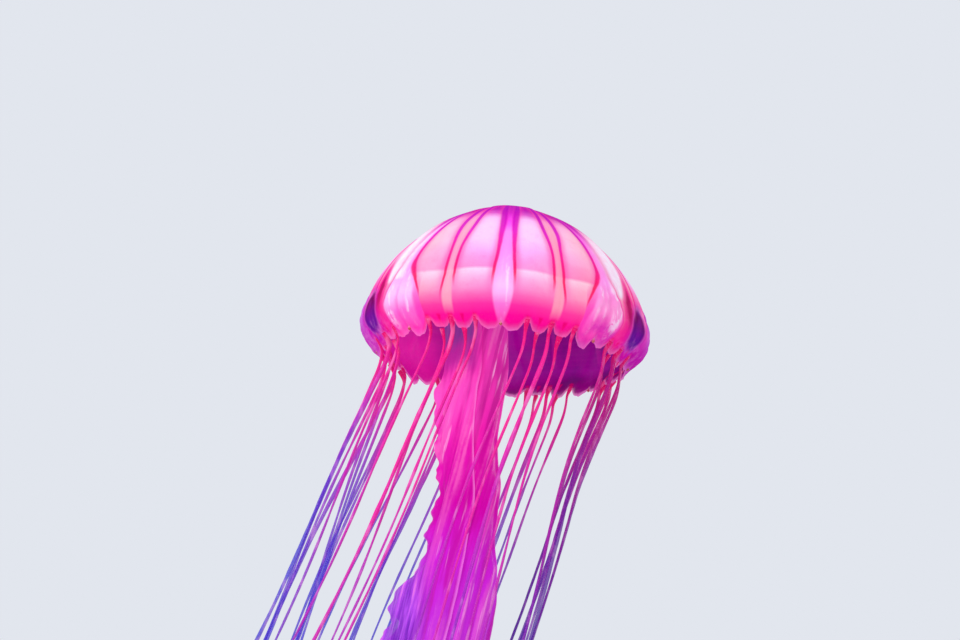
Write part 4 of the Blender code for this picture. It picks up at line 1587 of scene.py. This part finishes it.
# --- finishes
@dataclass(frozen=True)
class BellFlesh:
    """Wet jelly: pale panels, paired magenta stripes, lilac petals, hot pink and violet below.

    Ramps run by station, 0 at the crown, 1 at the widest level and 2.2 at the lappets' tips.
    The outer ramps' pale upper wall is partly the jelly's colour and partly painted light from above.
    """

    lilac: Stops = (
        (0.00, 176, 0, 168), (0.20, 178, 2, 170), (0.34, 180, 12, 172), (0.395, 186, 30, 180),
        (0.44, 216, 80, 200), (0.50, 246, 190, 250), (0.56, 249, 204, 255), (0.67, 251, 200, 254),
        (0.735, 254, 178, 248), (0.80, 254, 152, 226), (0.862, 252, 140, 210), (0.876, 255, 204, 240),
        (0.93, 254, 168, 220), (0.99, 254, 138, 202), (1.20, 254, 100, 180), (1.45, 254, 46, 160),
        (1.70, 254, 8, 150), (1.96, 252, 4, 148), (2.20, 242, 84, 204))
    salmon: Stops = (
        (0.00, 176, 0, 168), (0.20, 184, 0, 160), (0.34, 190, 10, 152), (0.395, 196, 20, 156),
        (0.44, 222, 58, 170), (0.50, 253, 158, 196), (0.56, 254, 184, 206), (0.67, 254, 184, 206),
        (0.735, 254, 166, 198), (0.80, 254, 146, 186), (0.862, 254, 136, 180), (0.876, 255, 198, 214),
        (0.93, 254, 170, 194), (0.99, 254, 154, 186), (1.20, 254, 118, 172), (1.45, 254, 66, 158),
        (1.70, 254, 24, 148), (1.96, 252, 8, 146), (2.20, 240, 84, 204))
    lining: Stops = (
        (0.00, 50, 4, 84), (0.45, 74, 0, 104), (0.80, 104, 0, 122), (0.96, 108, 0, 132),
        (1.12, 136, 6, 148), (1.35, 122, 0, 130), (1.60, 112, 0, 108), (1.90, 118, 0, 104),
        (2.20, 180, 24, 150))
    stripe: Stops = (
        (0.00, 160, 0, 168), (0.36, 172, 0, 178), (0.60, 222, 0, 190), (0.74, 242, 0, 140),
        (0.90, 246, 0, 84), (1.10, 250, 20, 124), (2.20, 246, 24, 150))
    petal: Stops = (
        (0.30, 172, 8, 172), (0.42, 206, 26, 194), (0.52, 250, 58, 236), (0.56, 254, 92, 243),
        (0.61, 255, 140, 250), (0.76, 255, 146, 246), (0.88, 253, 162, 240), (0.98, 254, 190, 248),
        (1.20, 254, 176, 238), (1.45, 254, 118, 214), (1.95, 252, 60, 178))
    edge: Colour = (254, 84, 176)
    strip: Colour = (255, 170, 188)
    clear: Colour = (60, 12, 138)
    cloudy: Colour = (88, 0, 62)
    misty: Colour = (104, 30, 172)
    shaded: Colour = (168, 0, 84)
    deep: Colour = (246, 10, 144)
    far: Colour = (178, 0, 156)
    halo: Colour = (184, 30, 190)
    verge: Colour = (176, 44, 200)
    blush: Colour = (255, 72, 178)
    # the white of the painted sheen, a highlight beside the side petals
    painted_sheen_white: Colour = (246, 238, 255)
    # pale pink: the lenses' painted edge highlight, and the flanks' specks
    outline: Colour = (252, 150, 232)
    flush: Colour = (255, 24, 184)
    warm: Colour = (182, 0, 164)
    root: Colour = (228, 0, 104)
    lace: Colour = (255, 172, 234)
    flame: Colour = (255, 226, 252)
    painted_hollow_shade: Colour = (204, 10, 172)
    bloom: Colour = (255, 206, 246)
    grain: Colour = (226, 30, 160)
    painted_fold_shade: Colour = (248, 40, 176)
    fringe: Colour = (250, 62, 168)
    septum: Colour = (178, 22, 150)
    rib: Colour = (196, 40, 170)
    bruise: Colour = (84, 44, 140)
    dusk: Colour = (176, 0, 158)

    def material(self) -> Material:
        """The finish as a new material."""
        g = Graph("bell_flesh", **WET, Roughness=0.34, Specular_IOR_Level=0.0,
                  Subsurface_Radius=(0.008, 0.004, 0.006), Coat_Roughness=0.16,
                  Emission_Strength=0.50)
        turn, down = g.form()
        raw = down * (2.0 * DEEPEST)
        inside = raw.rise(DEEPEST - 0.02, DEEPEST + 0.02)
        station = DEEPEST - abs(raw - DEEPEST)
        share = station / DEEPEST
        fall, fold, side, shade, shown, flank, outer = g.marks(
            "fall", "fold", "side", "shade", "shown", "flank", "outer")
        spread, organ, girth, window, hang, flare = g.marks(
            "spread", "organ", "girth", "window", "hang", "flare")
        degree = girth * math.radians(1.0) * 1000.0

        soft = g.noise(g.point(), 34.0, 4.0, 0.55)
        fine = g.noise(g.point(), 190.0, 3.0, 0.6)
        streak = g.noise(g.point((1.0, 1.0, 0.16)), 300.0, 3.0, 0.6)
        pair = turn * (360.0 / PATTERN.pair_span) + (0.5 - FORM.phase / PATTERN.pair_span)
        pair = (pair.fraction() - 0.5) * PATTERN.pair_span
        off = abs(pair)
        wander = (g.noise(g.point(), 62.0, 2.0) - 0.5) * 0.8

        # stripes: a core between soft flanks, and a fringe on the panel's side, in millimetres
        gap = (off - spread) * degree + wander
        wide = 0.84 + (0.75 + 0.70 * organ) * fall.hump(-64.0, 30.0)
        wide = wide + (0.20 + 0.85 * organ * flare) * fall.hump(-17.0, 8.0)
        ends = fall.rise(2.0 + 10.0 * flare, -12.0 + 8.0 * flare)
        starts = station.rise(0.015, 0.07)
        core = abs(gap).rise(wide * 1.30, wide * 0.45) * ends * starts
        core = core * (1.0 - 0.88 * outer)
        fringe = gap.hump(0.8, 3.0) * fall.rise(12.0, -10.0) * starts

        # the panels, pale above and hot pink below, partly painted light from above, warmer on every
        # second diagonal, redder towards the stripes
        diagonal = 0.5 - 0.5 * (turn * (8.0 * math.pi) + math.pi * 0.5).sine()
        coats = Coats(g, g.ramp(share, self.lilac, DEEPEST))
        coats.add(diagonal, g.ramp(share, self.salmon, DEEPEST))
        near = (off - spread).rise(3.6, 0.2) * fall.rise(-112.0, -80.0) * fall.rise(4.0, -26.0)
        coats.add(near * 0.45, self.edge)
        bloom = soft.rise(0.42, 0.72) * fall.rise(8.0, -14.0) * fall.rise(-84.0, -70.0)
        coats.add(bloom * 0.24, self.bloom)
        coats.add(fine.rise(0.50, 0.78) * 0.10, self.grain)

        # the strips between a tentacle pair's stripes, and the petals with their flames; painted
        # highlight on the fold ridges, painted shade in the folds and hollows, and a painted sheen
        # beside the petals
        strip = (spread - off).rise(0.1, 1.2) * (1.0 - organ) * fall.rise(-84.0, -54.0)
        strip = strip * fall.rise(18.0, 6.0)
        coats.add(strip * 0.70, self.strip)
        coats.add(flank * shown * fall.rise(-36.0, -14.0) * 0.60, self.deep)
        half = spread * fall.rise(-110.0, -96.0)
        petal = ((half - off) * degree).rise(-0.5, 1.3) * organ
        calm = 1.0 - 0.30 * flare * fall.rise(-14.0, -26.0)
        coats.add(petal * calm * 0.94, g.ramp(share, self.petal, DEEPEST))
        warm = side.rise(0.2, 0.7) * fall.rise(-22.0, -2.0) * petal
        coats.add(warm * 0.50, self.blush)
        # painted sheen: a white highlight on the panels beside the side petals
        sheen = g.mark("sheen") * (0.70 + 0.30 * streak.rise(0.30, 0.60))
        coats.add(sheen * 0.92, self.painted_sheen_white)
        # flames: the petals' whitish streaks, set on the fold ridges, partly painted highlight
        ridge = (fold + (soft - 0.5) * 1.3).rise(0.40, 1.10) * fall.rise(-30.0, -6.0)
        ridge = ridge * fall.rise(27.0, 8.0)
        flame = petal * ridge * (0.10 + 0.90 * streak.rise(0.47, 0.60))
        flame = flame * ((half - off) * degree).rise(0.8, 4.5)
        coats.add(flame * 0.94, self.flame)
        # painted shade: deeper pink in the petals' fold valleys
        painted_fold_shade = petal * flare * (fold + (soft - 0.5) * 0.8).rise(0.42, 0.0) * fall.rise(-14.0, 6.0)
        coats.add(painted_fold_shade * 0.75, self.painted_fold_shade)
        # painted shade: darker violet in the petals' hollows, mostly on the right
        hollow_shade_mask = (fine * 0.25 + soft * 0.75 + hang * 0.12).rise(0.46, 0.70) * flare
        hollow_shade_mask = hollow_shade_mask * off.rise(12.0, 8.5) * organ * (0.35 + 0.65 * side.rise(0.0, 0.4))
        coats.add(hollow_shade_mask * 0.75 * fall.rise(2.0, 14.0), self.painted_hollow_shade)
        coats.add(fringe * 0.42, self.fringe)
        coats.add(core * 0.90, g.ramp(share, self.stripe, DEEPEST))

        # the clear lenses: dark and cloudy within, outlined by a thin painted edge highlight
        coats.add(g.mark("verge") * fall.rise(-36.0, -16.0) * 0.72, self.verge)
        rim = ((half - off) * degree).rise(5.5, 0.5) * petal * outer * fall.rise(-30.0, -14.0)
        coats.add(rim * 0.70, self.deep)
        coats.add(shade.rise(-3.6, -0.4) * 0.85 * shown, self.deep)
        dark = (shade + (streak - 0.5) * 1.2).rise(-0.70, 0.95) * shown
        coats.add(dark * 0.88, self.shaded)
        low = fall.rise(-2.0, 15.0) * (0.55 + 0.45 * soft.rise(0.60, 0.40))
        coats.add(flank * low * 0.85, self.far)
        halo = window.rise(-2.4, 0.2) * fall.rise(-30.0, -9.0) * shown
        coats.add(halo * flank * 0.66, self.halo)
        lens = (window + (streak - 0.5) * 0.9 + (soft - 0.5) * 0.4).rise(-0.72, 0.50) * shown
        within = Coats(g, self.cloudy)
        within.add(fall.rise(-7.0, 9.0), self.clear)
        within.add(soft.rise(0.44, 0.74) * 0.40, self.misty)
        within.add(streak.rise(0.46, 0.72) * (0.08 + 0.20 * soft), self.halo)
        within.add(window.rise(0.3, 1.0) * (0.04 + 0.20 * soft), self.halo)
        coats.add(lens * 0.93, within.colour)
        # a painted edge highlight round each lens
        outline = window.hump(-0.30, 0.24) * (0.10 + 0.90 * streak.rise(0.30, 0.56))
        coats.add(outline * 0.14 * shown, self.outline)
        speck = flank * (fine * 0.5 + soft * 0.5).rise(0.46, 0.66) * fall.rise(2.0, 16.0)
        coats.add(speck * 0.34, self.outline)

        # the roots' red wedges and the lappets' pale edges
        octant = (turn * OCTANTS - FORM.phase / OCTANT).fraction() * OCTANT - OCTANT / 2
        place = (octant / FORM.root_step + 0.5).floor().most(-FORM.roots_aside).least(FORM.roots_aside)
        root_gap = abs(octant - place * FORM.root_step) * degree
        size = 1.0 + 0.35 * abs(place).rise(0.6, 0.4)
        wedge = size * station.rise(1.98, 1.66) * 1.45
        root = (wedge - root_gap + (fine - 0.5) * 0.8).rise(-0.55, 0.70)
        root = root * station.rise(1.64, 1.72) * station.rise(2.00, 1.90)
        coats.add(root * (0.72 - 0.40 * flank), self.root)
        coats.add(hang.rise(0.80, 1.0) * (0.05 + 0.34 * soft), self.lace)

        septum = off.rise(1.9, 0.5) * station.rise(0.30, 0.5) * station.rise(1.05, 0.95)
        lined = Coats(g, g.ramp(share, self.lining, DEEPEST))
        lined.add(septum * 0.55, self.septum)
        ribs = (station * (2 * math.pi * Bell.ribs)).sine()
        lined.add(ribs.rise(0.2, 1.0) * 0.08 * station.rise(0.5, 0.7), self.rib)
        lined.add(soft.rise(0.42, 0.70) * 0.30, self.bruise)
        lined.add(soft.rise(0.56, 0.36) * 0.45, self.dusk)
        glow = side.hump(0.05, 0.28) * station.rise(0.35, 0.75) * station.rise(2.0, 1.5)
        lined.add(glow * 0.62, self.warm)
        left = side.rise(-0.25, -0.65) * station.rise(0.55, 1.0)
        lined.add(left * 0.75 * (0.5 + soft), self.flush)
        lined.add(root * 0.6, self.root)
        lined.add(hang.rise(0.90, 0.99) * 0.5, self.lace)
        coats.add(inside, lined.colour)

        alpha = 0.99 - 0.32 * hang.rise(0.70, 1.0) * (1.0 - petal * 0.5) - 0.03 * lens
        alpha = alpha + 0.30 * root - 0.04 * fine
        alpha = alpha.least(1.0)
        warts = g.noise(g.point(), 620.0, 2.0, 0.55).rise(0.55, 0.75) * (1.0 - inside)
        height = fine * 0.35 + warts * 0.40 - core * 0.35 * (1.0 - inside) + septum * inside * 0.5
        rough = 0.30 + 0.14 * soft + 0.10 * fine
        # the colour also shines: a painted glow that flattens the bell's shading
        return g.glow(coats.colour, 0.30, Alpha=alpha, Roughness=rough,
                      Coat_Weight=0.07 - 0.06 * inside.most(lens).most(dark).most(flank * 0.7),
                      Normal=g.bump(height, 0.00045, 0.55))


@dataclass(frozen=True)
class TentacleFlesh:
    """Wet thread: red at the root, hot pink, then violet and blue-violet along its length."""

    along: Stops = (
        (0.000, 238, 8, 124), (0.04, 244, 36, 152), (0.14, 230, 40, 170), (0.28, 200, 44, 190),
        (0.46, 150, 48, 200), (0.70, 104, 50, 200), (1.00, 76, 62, 206))
    root: Colour = (232, 0, 112)
    dusk: Colour = (112, 0, 104)
    core: Colour = (186, 0, 122)
    dot: Colour = (255, 168, 236)

    def material(self) -> Material:
        """The finish as a new material."""
        g = Graph("tentacle_flesh", **WET, Roughness=0.30, Specular_IOR_Level=0.1,
                  Subsurface_Radius=(0.003, 0.002, 0.003), Coat_Weight=0.20, Coat_Roughness=0.12,
                  Emission_Strength=0.36)
        turn, _ = g.form()
        reach, cool = g.mark("reach"), g.mark("cool")
        cloud = g.noise(g.point(), 30.0, 3.0, 0.55)
        place = reach * (0.60 + 3.2 * cool) / 0.5 + (cloud - 0.5) * 0.20 * reach.rise(0.0, 0.08)
        coats = Coats(g, g.ramp(place, self.along))
        coats.add(g.mark("dusk") * 0.55, self.dusk)
        coats.add(reach.rise(0.009, 0.001) * 0.80, self.root)
        grain = g.noise(g.point(), 1500.0, 2.0, 0.6)
        patch = g.noise(g.point((1.0, 1.0, 0.35)), 160.0, 2.0)
        coats.add(patch.rise(0.52, 0.70) * 0.30, self.dot)
        coats.add(grain.rise(0.60, 0.78) * 0.35, self.dot)
        line = (turn * (2 * math.pi) + patch * 4.0).sine().rise(0.25, 0.95)
        coats.add(line * 0.30 * place.rise(0.7, 0.1), self.core)
        height = grain * 0.5 + patch * 0.5
        alpha = 0.96 - 0.24 * place.rise(0.05, 0.7) - 0.12 * patch
        # the colour also shines: a painted glow on the tentacles
        return g.glow(coats.colour, 0.22, Alpha=alpha, Roughness=0.24 + 0.18 * grain,
                      Normal=g.bump(height, 0.00016, 0.6))


@dataclass(frozen=True)
class ArmFlesh:
    """Wet veil: magenta; pale slanting pleats, partly painted light; clearer violet frills to the
    left.
    """

    length: Stops = (
        (0.00, 238, 60, 186), (0.10, 250, 62, 190), (0.17, 240, 24, 178), (0.28, 214, 0, 174),
        (0.36, 208, 30, 212), (0.46, 194, 44, 212), (0.75, 172, 46, 206), (1.00, 150, 56, 210))
    pleat: Colour = (255, 112, 200)
    shine: Colour = (255, 176, 232)
    deep: Colour = (184, 0, 140)
    violet: Colour = (184, 84, 240)
    indigo: Colour = (104, 28, 184)
    puff: Colour = (255, 84, 206)
    mauve: Colour = (176, 34, 156)
    slate: Colour = (104, 58, 152)
    lace: Colour = (255, 146, 236)
    broad: Span = (0.85, 4.5)
    threads: Span = (3.4, 9.0)

    def material(self) -> Material:
        """The finish as a new material."""
        g = Graph("arm_flesh", **WET, Roughness=0.34, Specular_IOR_Level=0.05,
                  Subsurface_Radius=(0.006, 0.003, 0.005), Coat_Weight=0.08, Coat_Roughness=0.16,
                  Emission_Strength=0.46)
        edge, veil, reach, slant, layer = g.marks("edge", "veil", "reach", "slant", "layer")
        broad, threads = (
            g.noise(g.signal("ShaderNodeCombineXYZ", None,
                             {"X": slant * across, "Y": reach * down, "Z": layer}), 1.0, 3.0, 0.55)
            for across, down in (self.broad, self.threads))
        grain = g.noise(g.point(), 420.0, 3.0, 0.6)
        ridge = g.mark("ridge") + (grain - 0.5) * 1.2
        coats = Coats(g, g.ramp(reach, self.length))
        coats.add(broad.rise(0.46, 0.34) * 0.60, self.deep)
        # painted shade: the pleats' valleys darker
        coats.add(ridge.rise(-0.3, -1.7) * 0.42, self.deep)
        bright = reach.rise(0.34, 0.12) * 0.45 + 0.28
        coats.add((broad + ridge * 0.07).rise(0.50, 0.64) * bright, self.pleat)
        # painted highlight: the pleats' ridges paler
        coats.add(ridge.rise(0.9, 2.2) * bright * 0.45, self.pleat)
        coats.add((threads + ridge * 0.03).rise(0.61, 0.72) * (bright + 0.12), self.shine)
        puff = reach.rise(0.086, 0.120) * reach.rise(0.21, 0.14) * veil.rise(0.10, 0.22)
        puff = puff * (threads * 0.4 + broad * 0.6).rise(0.36, 0.52)
        coats.add(puff * 0.72, self.puff)
        haze = (reach + (broad - 0.5) * 0.03).rise(0.102, 0.068) * veil.rise(0.16, 0.27)
        clouds = g.mix((reach + (broad - 0.5) * 0.06).rise(0.066, 0.036), self.mauve, self.slate)
        coats.add(haze * (0.62 + 0.40 * broad), clouds)
        left = veil.rise(0.60, 0.86) * reach.rise(0.24, 0.42)
        frill = Coats(g, self.indigo)
        frill.add(threads.rise(0.38, 0.58), self.violet)
        frill.add(threads.rise(0.55, 0.68) * 0.65, self.lace)
        coats.add(left * 0.85, frill.colour)
        lace = edge.rise(0.88, 0.98) * (0.24 + 0.60 * threads) * reach.rise(0.07, 0.12)
        coats.add(lace, self.lace)
        alpha = 0.98 - 0.20 * edge.rise(0.74, 1.0) - 0.34 * left * threads.rise(0.62, 0.42)
        height = threads * 0.55 + grain * 0.30
        # the colour also shines: a painted glow on the oral arms and the stalk
        return g.glow(coats.colour, 0.28, Alpha=alpha.least(1.0), Roughness=0.28 + 0.16 * grain,
                      Normal=g.bump(height, 0.0005, 0.6))


@dataclass(frozen=True)
class OrganFlesh:
    """The sense organs: amber jelly, darker and grainy at the tip."""

    stalk: Colour = (250, 168, 190)
    tip: Colour = (196, 66, 70)
    speck: Colour = (255, 216, 196)

    def material(self) -> Material:
        """The finish as a new material."""
        g = Graph("organ_flesh", Roughness=0.30, IOR=1.38, Coat_Weight=0.4, Coat_Roughness=0.1)
        _, along = g.form()
        grain = g.noise(g.point(), 2600.0, 2.0)
        colour = g.mix(along.rise(0.45, 0.80), self.stalk, self.tip)
        colour = g.mix(grain.rise(0.50, 0.70) * 0.4, colour, self.speck)
        return g.join(Base_Color=colour, Normal=g.bump(grain, 0.0001, 0.5))


@dataclass(frozen=True)
class DrawnSteel:
    """Stainless rod, drawn lengthwise, with faint bright scratches."""

    colour: Colour = (196, 198, 202)
    scratch: Colour = (150, 153, 158)

    def material(self) -> Material:
        """The finish as a new material."""
        g = Graph("rod_steel", Metallic=1.0, Roughness=0.28)
        grain = g.noise(g.point((1.0, 1.0, 0.012)), 2600.0, 3.0, 0.6)
        cloud = g.noise(g.point(), 60.0, 3.0)
        colour = g.mix(grain.rise(0.35, 0.70) * 0.35, self.colour, self.scratch)
        return g.join(Base_Color=colour, Roughness=0.20 + 0.16 * grain + 0.08 * cloud,
                      Normal=g.bump(grain, 0.00004, 0.35))


@dataclass(frozen=True)
class PowderCoat:
    """Dark grey powder coat: a fine orange peel, with small worn bright specks and faint darker
    clouds.
    """

    colour: Colour = (66, 69, 75)
    worn: Colour = (104, 108, 114)
    cloud: Colour = (56, 58, 64)

    def material(self) -> Material:
        """The finish as a new material."""
        g = Graph("base_finish", Roughness=0.5)
        peel = g.noise(g.point(), 900.0, 2.0, 0.5)
        speck = g.noise(g.point(), 3800.0, 1.0)
        cloud = g.noise(g.point(), 22.0, 4.0)
        colour = g.mix(speck.rise(0.62, 0.74) * 0.5, self.colour, self.worn)
        colour = g.mix(cloud.rise(0.45, 0.75) * 0.25, colour, self.cloud)
        return g.join(Base_Color=colour, Roughness=0.42 + 0.14 * peel + 0.10 * cloud,
                      Normal=g.bump(peel, 0.00012, 0.4))


# --- the studio
@dataclass
class Studio:
    """A plain pale floor, a plain pale surround, soft lights, and the camera."""

    lens: float = 85.0
    sensor: float = 36.0
    eye: Triple = (0.0001, -1.4104, 0.2830)
    tilt: float = math.radians(12.2)
    floor_size: float = 60.0
    surround: Colour = (226, 230, 238)
    surround_strength: float = 0.50
    floor_colours: tuple[Colour, Colour] = ((226, 226, 228), (236, 236, 237))
    aim: Triple = (-0.02, 0.0, 0.50)

    def camera(self) -> None:
        """Sets the camera level from side to side and looking up by the tilt."""
        data = bpy.data.cameras.new("camera")
        data.lens = self.lens
        data.sensor_width = self.sensor
        data.clip_start = 0.01
        made = placed("camera", data)
        made.location = self.eye
        made.rotation_euler = (math.pi / 2 + self.tilt, 0.0, 0.0)
        bpy.context.scene.camera = made

    def floor(self) -> None:
        """A square floor with a faintly mottled pale finish."""
        half = self.floor_size / 2
        mesh = bpy.data.meshes.new("floor")
        mesh.from_pydata([(-half, -half, 0), (half, -half, 0), (half, half, 0), (-half, half, 0)],
                         [], [(0, 1, 2, 3)])
        made = placed("floor", mesh)
        g = Graph("floor_paint", Roughness=0.65, Emission_Strength=0.54)
        cloud = g.noise(g.point(), 1.6, 4.0)
        mesh.materials.append(g.glow(g.mix(cloud, *self.floor_colours), 0.5))

    def surround_light(self) -> None:
        """The world: a pale surround, dimmer as a light than it is to look at."""
        world = bpy.data.worlds.new("surround")
        bpy.context.scene.world = world
        world.use_nodes = True
        tree = world.node_tree
        tree.nodes.clear()
        seen, shown, lit, mixed, output = (tree.nodes.new("ShaderNode" + kind) for kind in (
            "LightPath", "Background", "Background", "MixShader", "OutputWorld"))
        for background in (shown, lit):
            background.inputs["Color"].default_value = (*linear(*self.surround), 1.0)
        lit.inputs["Strength"].default_value = self.surround_strength
        tree.links.new(seen.outputs["Is Camera Ray"], mixed.inputs["Fac"])
        tree.links.new(lit.outputs[0], mixed.inputs[1])
        tree.links.new(shown.outputs[0], mixed.inputs[2])
        tree.links.new(mixed.outputs[0], output.inputs["Surface"])

    def soft_light(self, name: str, place: Triple, size: float, watts: float,
                   colour: Triple) -> None:
        """A square soft light that faces the aim, the middle of the animal.

        Args:
            name: of the light.
            place: its centre.
            size: of its side.
            watts: its power.
            colour: of its light, in shares.
        """
        data = bpy.data.lights.new(name, "AREA")
        data.shape = "SQUARE"
        data.size = size
        data.energy = watts
        data.color = colour
        made = placed(name, data)
        made.location = place
        made.rotation_euler = (Vector(self.aim) - Vector(place)).to_track_quat("-Z", "Y").to_euler()

    def build(self) -> None:
        """Makes all of it."""
        bpy.context.scene.view_settings.view_transform = "Standard"
        self.camera()
        self.floor()
        self.surround_light()
        self.soft_light("overhead", (-0.35, -0.55, 1.75), 1.3, 9.0, (1.0, 0.97, 1.0))
        self.soft_light("front_fill", (-1.05, -2.1, 0.85), 1.3, 17.0, (1.0, 0.98, 1.0))
        self.soft_light("back_edge", (1.1, 1.2, 1.0), 0.9, 5.0, (0.96, 0.97, 1.0))


def main() -> None:
    """Builds the studio, the animal and its stand, in that order."""
    logging.basicConfig(level=logging.INFO, format="%(name)s: %(message)s")
    Studio().build()
    Bell().build(BellFlesh().material())
    thread = TentacleFlesh().material()
    tentacles = Tentacles()
    for k in range(OCTANTS):
        tentacles.build(k, thread)
    veil = ArmFlesh().material()
    Manubrium().build(veil)
    arms = OralArms()
    for arm in range(len(arms.column.lengths)):
        arms.build(arm, veil)
    SenseOrgans().build(OrganFlesh().material())
    Stand().build(PowderCoat().material(), DrawnSteel().material())


if __name__ == "__main__":
    main()
